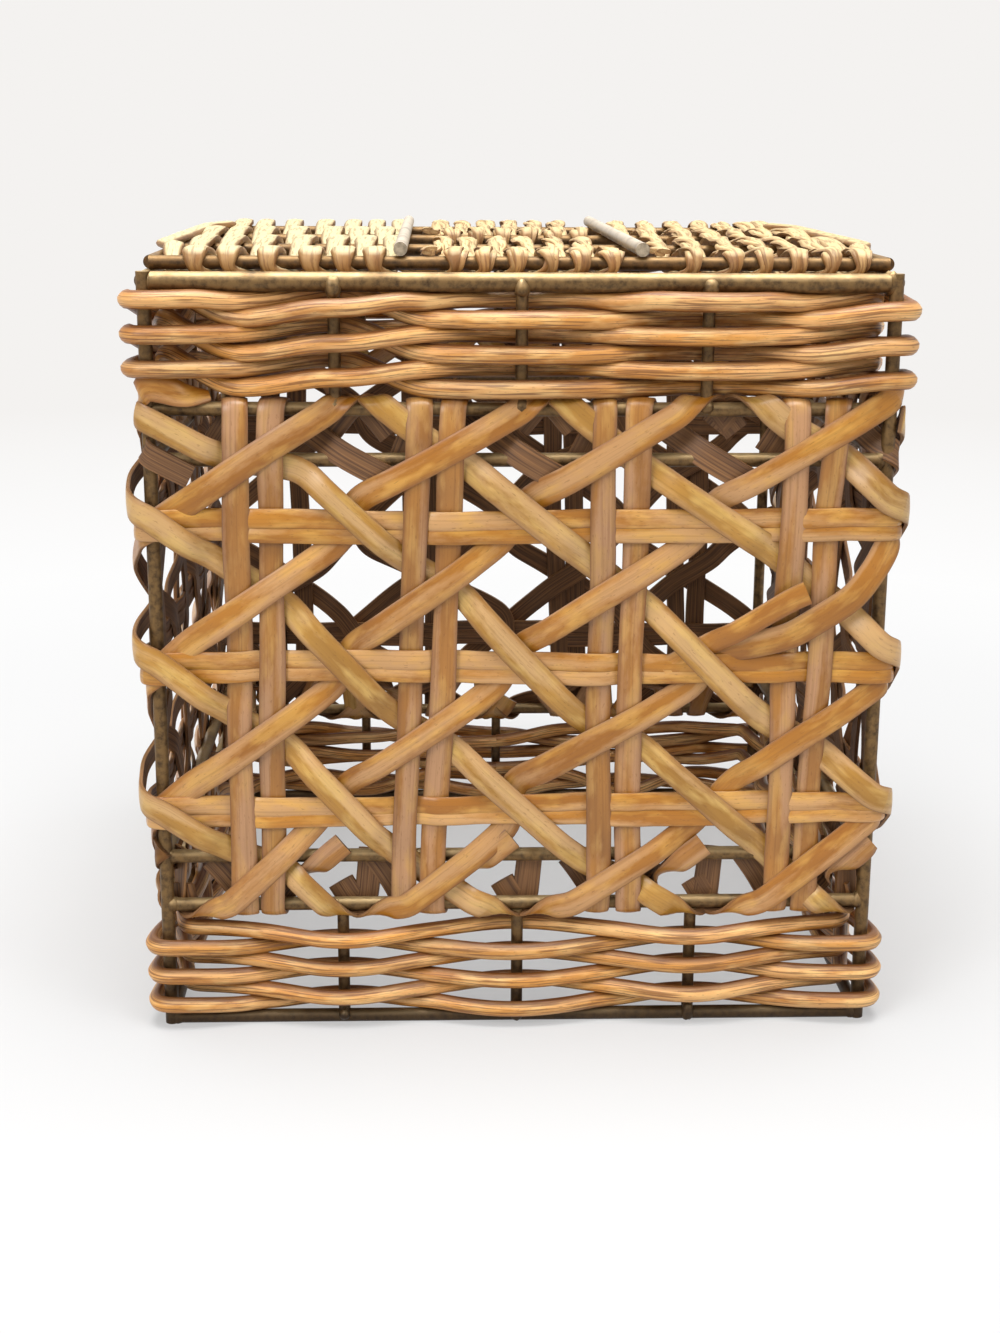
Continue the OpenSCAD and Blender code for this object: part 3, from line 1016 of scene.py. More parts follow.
# Stretches of the slanting canes that lie on top on the front, read off the photograph, in
# pixels of 1000 x 1333. Each line is one cane, from left to right, and each stretch its places.
RISING_PX: tuple[tuple[Pixels, ...], ...] = (
    (((217, 915), (314, 829)), ((347, 785), (498, 688)), ((516, 649), (696, 542)),
     ((714, 503), (906, 395))),
    (((390, 918), (510, 829)), ((511, 783), (696, 688)),
     ((712, 653), (790, 636), (850, 596), (882, 556), (896, 524))),
    (((552, 916), (691, 827)), ((732, 783), (881, 685))),
    (((744, 914), (879, 812)),),
    (((194, 785), (337, 686)), ((350, 648), (503, 544)), ((528, 502), (727, 386))),
    (((190, 643), (340, 544)), ((355, 500), (545, 400))),
    (((180, 506), (357, 392)),),
)
FALLING_PX: tuple[tuple[Pixels, ...], ...] = (
    (((132, 412), (221, 458)), ((300, 469), (400, 560)), ((457, 590), (584, 724)),
     ((639, 744), (758, 845)), ((806, 892), (838, 916))),
    (((465, 464), (588, 560)), ((648, 607), (763, 721)), ((819, 751), (886, 805))),
    (((651, 472), (774, 554)), ((842, 607), (895, 660))),
    (((847, 458), (903, 514)),),
    (((154, 757), (232, 853)), ((287, 869), (339, 916))),
    (((152, 618), (230, 716)), ((287, 744), (390, 851)), ((457, 895), (518, 916))),
    (((142, 479), (214, 560)), ((286, 605), (393, 716)), ((449, 747), (582, 862)),
     ((637, 885), (680, 912))),
)
# A second, cut cane that lies over the second rising cane.
CUT_CANE_PX: Pixels = ((664, 672), (700, 651), (742, 626), (790, 598), (806, 592))
# Where the reeds of the top come over the front rod: left of the opening, before it, right of it.
LEFT_WRAPS_PX = (194, 228, 268, 311, 343, 374)
MIDDLE_WRAPS_PX = (613, 582, 550, 518, 487, 457, 430)
RIGHT_WRAPS_PX = (864, 832, 801, 768, 734, 694, 658)
WRAPS_ROW_PX = 262


@dataclass
class CanePanels:
    """The open six-way canework of the four sides.

    Standing and level canes cross over and under, rising canes lie over the standing pairs and
    under the rows, and falling canes lie over the rows and under the pairs. A slanting cane that
    meets a post runs on round it into the next side.

    clear is how far from a crossing the standing cane, and then the level one, is back at rest.
    row_half is half of a row's height, and change half of the run in which a level cane changes
    sides between two standing ones. rising_over and falling_over are the shares of a stretch
    between which it is on top. bow is how far each side's second rising cane stands out before
    the post.
    """

    sizes: CoverSizes
    perimeter: Perimeter
    camera: PhotoCamera
    hand: Hand
    materials: dict[Cane, Material]
    cane_w: float = 4.9
    standing_w: float = 4.6
    row_cane_w: float = 3.5
    row_lean: float = 0.11
    half_pair: float = 5.05
    level_heights: tuple[float, ...] = (42.6, 69.6, 95.5)
    stand_top: tuple[float, ...] = (-49.8, -43.4, -18.0, -11.6, 14.5, 20.3, 48.5, 55.2)
    stand_foot: tuple[float, ...] = (-50.6, -45.5, -21.1, -16.1, 14.7, 20.1, 47.7, 53.2)
    clear: tuple[float, float] = (9.5, 9.0)
    row_half: float = 3.2
    change: float = 0.8
    rising_over: tuple[float, float] = (0.2, 0.66)
    falling_over: tuple[float, float] = (0.28, 0.78)
    bow: float = 1.6
    cut_cane_w: float = 4.4
    hook_slope: float = 1.25
    peel_share: float = 0.96
    plan_step: float = 0.6
    step: float = 0.8
    meshes: dict[tuple[Cane, int], StrandMesh] = field(default_factory=dict)

    def lay(
        self, kind: Cane, track: Array, width: float, tone: float,
        swell: Sequence[float] = (1, 1),
    ) -> None:
        """Sweeps a cane along a track, and shares it out among the sides that it crosses.

        Args:
            kind: The kind of cane.
            track: Its track.
            width: Its width.
            tone: Its shade.
            swell: Shares of that width at even distances from end to end.
        """
        points, faces = self.perimeter.place(track)
        rows = np.column_stack([points, faces, track[:, 0]])
        line, along = stations(rows, self.step, 2, smooth=6)
        share = np.linspace(0, 1, len(line))
        broad = (1 + self.hand.wander(along, 0.06, 50)) * np.interp(
            share, np.linspace(0, 1, len(swell)), swell,
        )
        section = Section.split_cane(self.sizes.cane_t * self.peel_share)
        rings = section.rings(line[:, :3], line[:, 3:6], width / 2 * broad)
        shift = self.hand.near(3000, 2900)
        side = self.perimeter.side(line[:, 6]).astype(int)
        for number in np.unique(side):
            own = np.flatnonzero(side == number)
            if len(own) < 3:
                continue
            part = slice(max(own[0] - 1, 0), own[-1] + 1)
            mesh = self.meshes.setdefault((kind, int(number) % 4), StrandMesh())
            mesh.add(rings[part], along[part], section, tone, shift)

    def standing(self, side: Side) -> None:
        """Lays the eight standing canes of a side, hooked over its upper and lower rail.

        Each goes up straight with a slow sway, and out and in past the level rows on half waves,
        opposite to the other of its pair.

        Args:
            side: The side.
        """
        sizes, hand, r = self.sizes, self.hand, self.sizes.seat
        ends = [sizes.lower_z, sizes.upper_z]
        for i, (top, foot) in enumerate(zip(self.stand_top, self.stand_foot)):
            first = i % 2 == 0
            if side is not Side.FRONT:
                top, foot = hand.near(top, 1.1), hand.near(foot, 1.1)
            knots, outs = [sizes.lower_z, sizes.lower_z + 5], [r, r + 0.75]
            for row, height in enumerate(self.level_heights):
                passed = r + (0.55 if first == (row % 2 == 0) else -0.55) * sizes.layer
                knots += [height - self.clear[0], height - self.row_half, height + self.row_half]
                outs += [r + 0.1, passed, passed]
            knots += [self.level_heights[-1] + 9, sizes.upper_z - 5, sizes.upper_z]
            outs += [r + 0.35, r + 0.8, r]
            up = np.linspace(*ends, 220)
            run = np.interp(up, ends, [foot, top]) + hand.wander(up, 0.35, 60)
            front = np.stack([run, eased(up, knots, outs), up, 0 * up], axis=1)
            high = self.tail(run[-1], sizes.upper_z, 1, first)
            low = self.tail(run[0], sizes.lower_z, -1, first)
            track = np.concatenate([low[::-1], front, high])
            track[:, 0] += side.value * self.perimeter.pitch
            self.lay(Cane.STANDING, track, hand.near(self.standing_w, 0.15), hand.near(-0.2, 0.5))

    def tail(self, run: float, rail_z: float, way: int, first: bool) -> Array:
        """Carries a standing cane over a rail on half a circle, and on behind it.

        The first of a pair ends there. The second goes on to the right, and comes out before the
        next rail.

        Args:
            run: Where it meets the rail.
            rail_z: The rail's height.
            way: 1 over the upper rail, -1 under the lower one.
            first: Whether it is the first of its pair.

        Returns:
            The tail's track.
        """
        r, hand = self.sizes.seat, self.hand
        arc = np.linspace(0, np.pi, 20)[1:]
        # Behind the rail it goes this far to the right, and this far back down or up.
        aside = hand.near(-5, 1.5) if first else hand.near(20 if way > 0 else 14, 1.5)
        drop = hand.near(9, 1) if first else hand.near(12.5, 0.8)
        bend = np.stack([
            run + 0.06 * aside * (1 - np.cos(arc)) / 2, r * np.cos(arc),
            rail_z + way * r * np.sin(arc), way * arc,
        ], axis=1)
        share = np.linspace(0, 1, 40)[1:]
        over_next = 0 if first else 2 * r
        twist = 0 if first or way > 0 else np.pi
        rest = np.stack([
            bend[-1, 0] + aside * (0.25 * share + 0.69 * share ** 1.3),
            -r + over_next * eased(share, [0, 0.35, 0.7, 1], [0, 0, 1, 0.9]),
            rail_z - way * drop * share,
            way * (np.pi - twist * eased(share, [0, 0.2, 0.8, 1], [0, 0, 1, 1])),
        ], axis=1)
        return np.concatenate([bend, rest])

    def level(self) -> None:
        """Lays the six level canes, each once round the cover.

        Each goes out and in past the standing pairs on half waves, and lies over the posts.
        """
        sizes, hand, perimeter = self.sizes, self.hand, self.perimeter
        half, pair, change, clear = perimeter.half, self.half_pair, self.change, self.clear[1]
        for row, height in enumerate(self.level_heights):
            over = (-1 if row % 2 == 0 else 1) * 0.5 * sizes.layer
            knots, outs = [], []
            for base in (side.value * perimeter.pitch for side in Side):
                knots += [base - half - 1.3, base - half + 2]
                for i in range(4):
                    u = base + (i + 0.5) * half / 2 - half
                    knots += [u + way for way in (-clear, -pair, -change, change, pair, clear)]
                knots += [base + half - 2, base + half + 1.3]
                post = [sizes.seat + 1.02 * sizes.layer] * 2
                pairs = [sizes.seat + way * over for way in (0, 1, 1, -1, -1, 0)] * 4
                outs += post + pairs + post
            # The cane's two ends meet under a standing cane of the back.
            under = 0.4 if row % 2 else -0.4
            start = 2 * perimeter.pitch + half / 4 + under * 2 * pair
            run = np.linspace(start, start + perimeter.length, 1500)
            out = eased(perimeter.first_round(run), knots, outs)
            for way in (-1, 1):
                apart = self.row_cane_w * 0.35 + hand.wander(run, 0.15, 70)
                up = height + way * apart + hand.wander(run, 0.4, 120)
                # Each leans like a shingle, so that the upper one's foot lies over the lower one.
                track = np.stack([run, out, up, self.row_lean + 0 * run], axis=1)
                self.lay(Cane.LEVEL, track, self.row_cane_w, hand.near(0.1, 0.6))

    def stretches(self, side: Side, pixels: Sequence[Sequence[Pixels]]) -> list[list[Array]]:
        """Gives the canes of one side, each as its stretches on top.

        The front has them as in the photograph, and the other sides with each end moved by up to a
        millimetre or so.

        Args:
            side: The side.
            pixels: The front's canes.

        Returns:
            For each cane, its stretches as rows of [run, up].
        """
        base = np.array([side.value * self.perimeter.pitch, 0.0])
        plane = -self.perimeter.half - self.sizes.seat - 0.5
        canes = []
        for cane in pixels:
            own = [self.camera.on_plane(stretch, plane) for stretch in cane]
            if side is not Side.FRONT:
                own = [line[[0, -1]] + self.hand.random.uniform(-0.9, 0.9, (2, 2)) for line in own]
            canes.append([line + base for line in own])
        return canes

    def slants(
        self, pixels: Sequence[Sequence[Pixels]], follow: Sequence[int],
    ) -> Iterator[tuple[Side, list[Array], list[Array]]]:
        """Goes through the four slanting canes that start on each side.

        Args:
            pixels: The front's canes.
            follow: Which cane of the next side each but the first goes on as.

        Yields:
            The side, the cane's stretches there, and those on the next side.
        """
        sides = [self.stretches(side, pixels) for side in Side]
        for side in Side:
            turn = np.array([self.perimeter.length if side is Side.LEFT else 0.0, 0.0])
            after = sides[(side.value + 1) % 4]
            yield side, sides[side.value][0], []
            for own, number in zip(sides[side.value][1:], follow):
                yield side, own, [stretch + turn for stretch in after[number]]

    def slanting(
        self, passes: Sequence[Array], over: tuple[float, float],
    ) -> tuple[Array, list[float], list[float]]:
        """Joins a cane's stretches, and says how far out it lies along them.

        Args:
            passes: The stretches on top, as rows of [run, up].
            over: Shares of a stretch between which it lies on top.

        Returns:
            The line's rows, and the knots and values of its distance out.
        """
        line = np.concatenate(passes)
        length = travelled(line)
        under = self.sizes.seat - 0.85 * self.sizes.layer
        crown = self.sizes.seat + self.sizes.layer * 1.05
        knots, outs, first = [], [], 0
        for stretch in passes:
            start, end = length[first], length[first + len(stretch) - 1]
            knots += [start, *(start + (end - start) * share for share in over), end]
            outs += [under, crown, crown, under]
            first += len(stretch)
        return line, knots, outs

    def track(self, line: Array, knots: Sequence[float], outs: Sequence[float]) -> Array:
        """Makes a smooth track of a line through [run, up] rows.

        Args:
            line: The rows.
            knots: Rising distances along the line.
            outs: How far out it lies there.

        Returns:
            The track.
        """
        length = travelled(line)
        at = np.linspace(0, length[-1], int(length[-1] / self.plan_step))
        plan = np.stack([np.interp(at, length, column) for column in line.T], axis=1)
        run, up = smoothed(plan, 7).T
        up = up + self.hand.wander(at, 0.25, 45)
        # A millionth apart at least, so that no two knots are at one place.
        rising = np.maximum.accumulate(np.asarray(knots) + np.arange(len(knots)) * 1e-6)
        return np.stack([run, eased(at, rising, outs), up, 0 * at], axis=1)

    def hook(
        self, run: float, rail_z: float, way: int, tail: float, drift: float, end: int = 1,
    ) -> Array:
        """Carries a slanting cane over a rail on half a circle, and straight on behind it.

        Args:
            run: Where it meets the rail.
            rail_z: The rail's height.
            way: 1 over an upper rail, -1 under a lower one.
            tail: Height of the part behind the rail.
            drift: How far that goes along for each millimetre of height.
            end: 1 for the hook at its end, -1 for the one at its start.

        Returns:
            The hook's track.
        """
        r = self.sizes.seat
        arc = np.linspace(0, np.pi, 18)[1:]
        aside = run + end * self.hook_slope * r * arc
        bend = np.stack([aside, r * np.cos(arc), rail_z + way * r * np.sin(arc), way * arc], axis=1)
        far = np.linspace(0, tail, 14)[1:]
        rest = np.stack([
            aside[-1] + end * drift * far, -r - 0.05 * far,
            rail_z - way * far, way * np.pi + 0 * far,
        ], axis=1)
        return np.concatenate([bend, rest])[::end]

    def rising(self) -> None:
        """Lays the rising canes, four that start on each side.

        The first stays on its side: its tip is tucked round the post, and narrows. The others go
        on past the post, and end hooked over the upper rail of the next side.
        """
        sizes, hand = self.sizes, self.hand
        seat, high_z = sizes.seat, sizes.upper_z
        for number, (side, own, more) in enumerate(self.slants(RISING_PX, (6, 5, 4))):
            line, knots, outs = self.slanting(own + more, self.rising_over)
            met = 4 * len(own)
            if more:
                outs[met - 1] = outs[met] = seat + 0.1
            if number % 4 == 1:
                # Each side's second cane bows out before the post.
                outs[met - 2] += self.bow
            track = self.track(line, knots, outs)
            low = self.hook(track[0, 0], sizes.lower_z, -1, hand.near(3, 1), 0.6, -1)
            track = np.concatenate([low, track[track[:, 2] > sizes.lower_z]])
            swell = (1, 1)
            if more:
                track = track[track[:, 2] < high_z]
                end = self.hook(track[-1, 0], high_z, 1, hand.near(4, 1), 0.8)
            else:
                corner = (side.value + 0.5) * self.perimeter.pitch
                track = track[track[:, 0] < corner - 1.5]
                end = np.array([
                    [corner + 1, seat + 0.2, high_z + 4, 0],
                    [corner + 4, seat + 0.3, high_z + 3.8, 0.1],
                    [corner + 8, seat - 0.4, high_z + 2.4, 0.5],
                    [corner + 12, -0.4, high_z + 2.2, 0.9],
                ])
                swell = (1,) * 60 + (0.95, 0.8, 0.5)
            track = np.concatenate([track, end])
            self.lay(Cane.RISING, track, hand.near(self.cane_w, 0.2), hand.near(0.25, 0.5), swell)

    def falling(self) -> None:
        """Lays the falling canes, four that start on each side.

        The first starts at the post. The others start hooked over the upper rail, and go on past
        the next post. All end hooked under the lower rail.
        """
        sizes, hand = self.sizes, self.hand
        seat, high_z = sizes.seat, sizes.upper_z
        for side, own, more in self.slants(FALLING_PX, (4, 5, 6)):
            passes = own
            if more:
                passes = [*own[:-1], np.concatenate([own[-1], more[0][1:]]), *more[1:]]
            elif side is not Side.FRONT:
                # Its start is clear of the post, a little further along and lower than in front.
                own[0][0] += [2.5, -2.0]
            line, knots, outs = self.slanting(passes, self.falling_over)
            if more:
                # It lies over all else where it passes the post, and rises steeply to the rail.
                post = 4 * (len(own) - 1)
                outs[post + 1] = outs[post + 2] = seat + 2.1 * sizes.layer
                top = np.array([[line[0, 0] - 13.5, high_z], [line[0, 0] - 9, high_z - 3.5]])
                length = np.linalg.norm(top[0] - top[1]) + np.linalg.norm(top[1] - line[0])
                line = np.concatenate([top, line])
                knots = [0, length * 0.9, *(knot + length for knot in knots)]
                outs = [seat, seat, *outs]
            else:
                outs[0] = seat + 0.4
            track = self.track(line, knots, outs)
            if more:
                high = self.hook(track[0, 0], high_z, 1, hand.near(4, 1), 0.8, -1)
                track = np.concatenate([high, track])
            track = track[track[:, 2] > sizes.lower_z]
            foot = self.hook(track[-1, 0], sizes.lower_z, -1, hand.near(9.5, 1), 0.1)
            track = np.concatenate([track, foot])
            self.lay(Cane.FALLING, track, hand.near(self.cane_w, 0.2), hand.near(-0.05, 0.5))

    def cut_cane(self) -> None:
        """Lays the short cut cane, which climbs on to the second rising cane of the front."""
        seat, crown = self.sizes.seat, self.sizes.seat + 2 * self.sizes.layer
        line = self.camera.on_plane(CUT_CANE_PX, -self.perimeter.half - seat - 1)
        length = float(np.linalg.norm(line[-1] - line[0]))
        climb = (9.5, 15.0)
        track = self.track(line, [0, *climb, length], [seat, seat, crown, crown + 0.4])
        self.lay(Cane.RISING, track, self.cut_cane_w, 0.5)

    def build(self) -> None:
        """Lays all the canes, and makes one piece of each kind on each side."""
        self.level()
        self.rising()
        self.cut_cane()
        self.falling()
        for side in Side:
            self.standing(side)
        for (kind, number), mesh in self.meshes.items():
            node = f"{kind.value}_canes_{Side(number).label}"
            mesh.build(f"{node}_woven", "cane", self.materials[kind], node)


@dataclass
class WovenTop:
    """The four panels of flat reed round the opening, each one long reed going to and fro.

    A pass goes over one rod and under the next on a cosine, and at the end rod the reed turns
    round the rod on half a circle while it moves over to its next place. It is spread flat where
    it lies over a rod, and drawn together where it passes under one. Except on the left, the reed
    has split into strands, which twist round its middle on an ellipse.
    """

    sizes: CoverSizes
    camera: PhotoCamera
    hand: Hand
    # Finishes with painted top light: the palest for the left panel, a yellower one for the rest.
    lit_top: Material
    tan: Material
    reed_w: float = 3.1
    reed_t: float = 1.6
    spread: float = 0.38
    strands: int = 3
    strand_w: float = 1.65
    strand_t: float = 0.9
    twist_mm: float = 36
    last_step: float = 2.7
    stays: float = 0.64
    step: float = 0.75

    @property
    def seat(self) -> float:
        """Distance from the middle of a rod to the middle of the reed round it."""
        return self.sizes.top_rod_r + self.sizes.gap + self.reed_t / 2

    def sweep(self, mesh: StrandMesh, points: Array, spread: float, split: bool = False) -> None:
        """Adds one reed along a line to a mesh.

        Args:
            mesh: The panel's mesh.
            points: Rows of [x, y, z].
            spread: How much wider it lies over a rod, as a share of its width.
            split: Whether it has split into strands.
        """
        hand = self.hand
        line, along = stations(points, self.step, 2)
        direction = unit(np.gradient(line, axis=0))
        faces = unit(np.cross(np.array([1.0, 0, 0]), direction))
        level = np.clip((line[:, 2] - self.sizes.top_rod_z) / self.seat, -1, 1)
        swell = 1 + spread * level + hand.wander(along, 0.12, 22)
        if not split:
            section = Section.round_reed(self.reed_t / 2, 12, 0.05, 0.7)
            rings = section.rings(line, faces, self.reed_w / 2 * swell)
            mesh.add(rings, along, section, hand.near(0, 0.4), hand.near(500, 300))
            return
        across = np.cross(direction, faces)
        aside, proud = (self.reed_w - self.strand_w) / 2, (self.reed_t - self.strand_t) / 2
        section = Section.round_reed(self.strand_t / 2, 10, 0.07, 0.8)
        for strand in range(self.strands):
            turn = TAU * (strand / self.strands + along / self.twist_mm)
            turn = turn + hand.wander(along, 1.1, 18)
            roll = hand.wander(along, 0.35, 14)[:, None]
            place = line + (aside * swell * np.cos(turn))[:, None] * across
            place = place + (proud * np.sin(turn))[:, None] * faces
            facing = faces * np.cos(roll) + across * np.sin(roll)
            half_width = self.strand_w / 2 * (swell * (1 + hand.wander(along, 0.2, 12)))
            rings = section.rings(place, facing, half_width)
            mesh.add(rings, along, section, hand.near(0, 0.7), hand.near(500, 300))

    def weave(self, x: float, rods: Array, overs: Sequence[bool]) -> Array:
        """One pass from the first rod to the last, its height a cosine from rod to rod.

        Args:
            x: Its place.
            rods: The y of each rod.
            overs: Whether it goes over each rod.

        Returns:
            Rows of [x, y, z].
        """
        y = np.linspace(rods[0], rods[-1], 16 * (len(rods) - 1) + 1)
        z = eased(y, rods, self.seat * np.where(overs, 1, -1))
        return np.stack([x + self.hand.wander(y, 0.14, 60), y, self.sizes.top_rod_z + z], axis=1)

    def panel(self, mesh: StrandMesh, places: Array, rods: Array, split: bool) -> None:
        """Adds a panel's reed, whose passes run in turn to the front and to the back.

        Args:
            mesh: The panel's mesh.
            places: The x of each pass, of which the first goes over the first rod.
            rods: The y of each rod.
            split: Whether the reed has split into strands.
        """
        seat, rod_z = self.seat, self.sizes.top_rod_z
        passes = [
            self.weave(self.hand.near(x, 0.1), rods, (np.arange(len(rods)) + i) % 2 == 0)
            for i, x in enumerate(places)
        ]
        passes[::2] = [line[::-1] for line in passes[::2]]
        track = passes[:1]
        arc = np.linspace(0, np.pi, 18)[1:-1]
        for i, (before, after) in enumerate(zip(passes, passes[1:])):
            x, y, z = before[-1]
            way = 1 if i % 2 else -1
            rise = np.sign(z - rod_z)
            bend = np.stack([
                x + (after[0, 0] - x) * self.share_moved(arc, rise),
                y + way * seat * np.sin(arc),
                rod_z + rise * seat * np.cos(arc),
            ], axis=1)
            track += [bend, after]
        self.sweep(mesh, np.concatenate(track), self.spread, split)

    def share_moved(self, arc: Array, rise: float) -> Array:
        """Share of the way to its next place that the reed has gone in a turn.

        It stays for the turn's upper share, and moves on a smooth step in the rest.

        Args:
            arc: The angles of the turn.
            rise: 1 where it starts over the rod, -1 under it.

        Returns:
            The share at each angle.
        """
        fallen = arc / np.pi if rise > 0 else 1 - arc / np.pi
        share = np.clip(fallen - self.stays, 0, 1) / (1 - self.stays)
        moved = share ** 2 * (3 - 2 * share)
        return moved if rise > 0 else 1 - moved

    def border(self, mesh: StrandMesh, first: float, rods: Array) -> None:
        """Adds the three reeds outside a side panel's first pass.

        Two are woven. The third comes up from under the front rod, and lies on the side rod.

        Args:
            mesh: The panel's mesh.
            first: The x of the panel's first pass.
            rods: The y of each rod.
        """
        sizes, out = self.sizes, np.sign(first)
        inner_edge = sizes.side_rod_x - sizes.top_rod_r - self.reed_w / 2
        for share, third_over in ((0.48, False), (0.97, True)):
            x = first + out * (inner_edge - abs(first)) * share
            overs = (False, not third_over, third_over, not third_over)
            self.sweep(mesh, self.weave(x, rods, overs), self.spread)
        front, back = rods[0], rods[-1]
        y = np.linspace(front, back, 90)
        knots = [front, front + 13, front + 25, back - 25, back - 13, back]
        outward = [inner_edge - 1, inner_edge, sizes.side_rod_x + 0.3]
        x = eased(y, knots, outward + outward[::-1])
        z = self.seat * eased(y, knots, [-1, 1, 1, 1, 1, -1])
        self.sweep(mesh, np.stack([out * x, y, sizes.top_rod_z + z], axis=1), 0.1)

    def places(self, wraps_px: Sequence[float]) -> Array:
        """Gives the places of a panel's passes: those seen over the front rod, and one after each.

        Args:
            wraps_px: Where the photograph shows passes over the front rod.

        Returns:
            The x of each pass, in millimetres.
        """
        pixels = [(px, WRAPS_ROW_PX) for px in wraps_px]
        seen = self.camera.on_plane(pixels, -self.sizes.outer_rod_y - self.sizes.top_rod_r)[:, 0]
        step = np.diff(seen, append=2 * seen[-1] - seen[-2]) / 2
        step[-1] = np.sign(step[-1]) * min(abs(step[-1]), self.last_step)
        return np.stack([seen, seen + step], axis=1).ravel()

    def build(self) -> None:
        """Makes the four panels."""
        outer, inner = self.sizes.outer_rod_y, self.sizes.inner_rod_y
        rods = np.array([-outer, -inner, inner, outer])
        middle = self.places(MIDDLE_WRAPS_PX)[:-1]
        for side, places, own_rods in (
            (Side.LEFT, self.places(LEFT_WRAPS_PX), rods),
            (Side.RIGHT, self.places(RIGHT_WRAPS_PX)[:-1], rods),
            (Side.FRONT, middle, rods[:2]),
            (Side.BACK, middle, rods[2:]),
        ):
            mesh, whole = StrandMesh(), side is Side.LEFT
            self.panel(mesh, places, own_rods, not whole)
            if len(own_rods) == len(rods):
                self.border(mesh, places[0], own_rods)
            # The left panel takes the palest painted top light.
            material = self.lit_top if whole else self.tan
            mesh.build(f"top_reed_{side.label}", "top_reed", material, f"top_weave_{side.label}")


@dataclass
class WeldedFrame:
    """The painted rods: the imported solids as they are, and the weld beads at their joints."""

    sizes: CoverSizes
    hand: Hand
    material: Material
    worn: Material
    # The darker copy for the top's rods is painted shade.
    reed_shaded: Material
    bead_r: float = 1.75
    turns: int = 12
    belts: int = 8

    def dress(self) -> None:
        """Paints every rod."""
        for name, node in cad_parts.items():
            if not node.hide_render:
                # The top's rods take the darker copy, as painted shade from the reed over them.
                own = self.reed_shaded if name.startswith("top_") and "rod" in name else self.material
                node.data.materials.clear()
                node.data.materials.append(self.worn if name == "opening_side_rods" else own)

    def joints(self) -> Array:
        """Places of the welds: each rail's ends at the posts, and the stakes' ends.

        Returns:
            Rows of [x, y, z], those of the front turned by quarters to each side.
        """
        sizes, half = self.sizes, self.sizes.post_half
        heights = (sizes.base_z, sizes.lower_z, sizes.lower_cane_z, sizes.upper_cane_z,
                   sizes.upper_z, sizes.rim_z)
        reach = half - sizes.post_r * 0.9
        spots = [(x, -half, z) for z in heights for x in (-reach, reach)]
        # The stakes' ends: their heights, and how far they are out from the posts' plane.
        ends = ((sizes.base_z + 0.6, 1.0), (sizes.upper_z + 0.5, 0.9), (sizes.rim_z - 0.9, 1.35))
        spots += [(x, -half - out, z) for z, out in ends for x in (-half / 2, 0, half / 2)]
        x, y, z = np.array(spots).T
        return np.concatenate([
            np.stack([c * x - s * y, s * x + c * y, z], axis=1)
            for c, s in ((1, 0), (0, 1), (-1, 0), (0, -1))
        ])

    def build(self) -> None:
        """Makes the weld beads: spheres whose radius swells and shrinks by sines of both angles."""
        centres, turns = self.joints(), self.turns
        pole = np.linspace(0, np.pi, self.belts + 1)[1:-1]
        polar, around = np.meshgrid(pole, np.arange(turns) * TAU / turns, indexing="ij")
        unit_ball = np.stack([
            np.sin(polar) * np.cos(around), np.sin(polar) * np.sin(around), np.cos(polar),
        ], axis=-1)
        # The rings go from the top down, so the faces are turned to look outwards.
        body, ends = tube_faces(self.belts - 1, turns)
        body, ends = body[:, [0, 3, 2, 1]], ends[:, [0, 2, 1]]
        points, quads, fans = [], [], []
        for number, centre in enumerate(centres):
            phase = self.hand.random.uniform(0, TAU, 4)
            lump = 1 + 0.12 * np.sin(2 * around + phase[0]) * np.sin(polar + phase[1])
            lump = lump + 0.08 * np.sin(3 * polar + phase[2])
            size = self.bead_r * self.hand.near(0.72, 0.1)
            tall = self.hand.near(1.35, 0.25)
            own = unit_ball * (lump * size)[..., None] * np.array([1.0, 1.0, tall])
            poles = np.array([[0, 0, size * tall], [0, 0, -size * tall]])
            bead = np.concatenate([own.reshape(-1, 3), poles]) + centre
            # The lowest beads are ground flat, level with the rails' undersides.
            bead[:, 2] = np.maximum(bead[:, 2], 0)
            points.append(bead)
            quads.append(body + number * len(bead))
            fans.append(ends + number * len(bead))
        faces = np.concatenate(quads).tolist() + np.concatenate(fans).tolist()
        beads = meshed("weld_beads", np.concatenate(points) * MM, faces, self.material)
        beads.data.shade_smooth()
        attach(beads, BODY)
        log.info("weld_beads: %d beads", len(centres))


# The studio

FAR_GREY = "#F4F2F0"


def see_white(tree: Tree) -> Any:
    """1 where the camera looks straight, by a mirror or through glass, and 0 for other light.

    Args:
        tree: The nodes of a material or the world.

    Returns:
        The output of the largest of the three rays' marks.
    """
    path = add(tree, "ShaderNodeLightPath").node.outputs
    seen = path["Is Camera Ray"]
    for ray in ("Is Glossy Ray", "Is Transmission Ray"):
        seen = add(tree, "ShaderNodeMath", {0: seen, 1: path[ray]}, operation="MAXIMUM")
    return seen


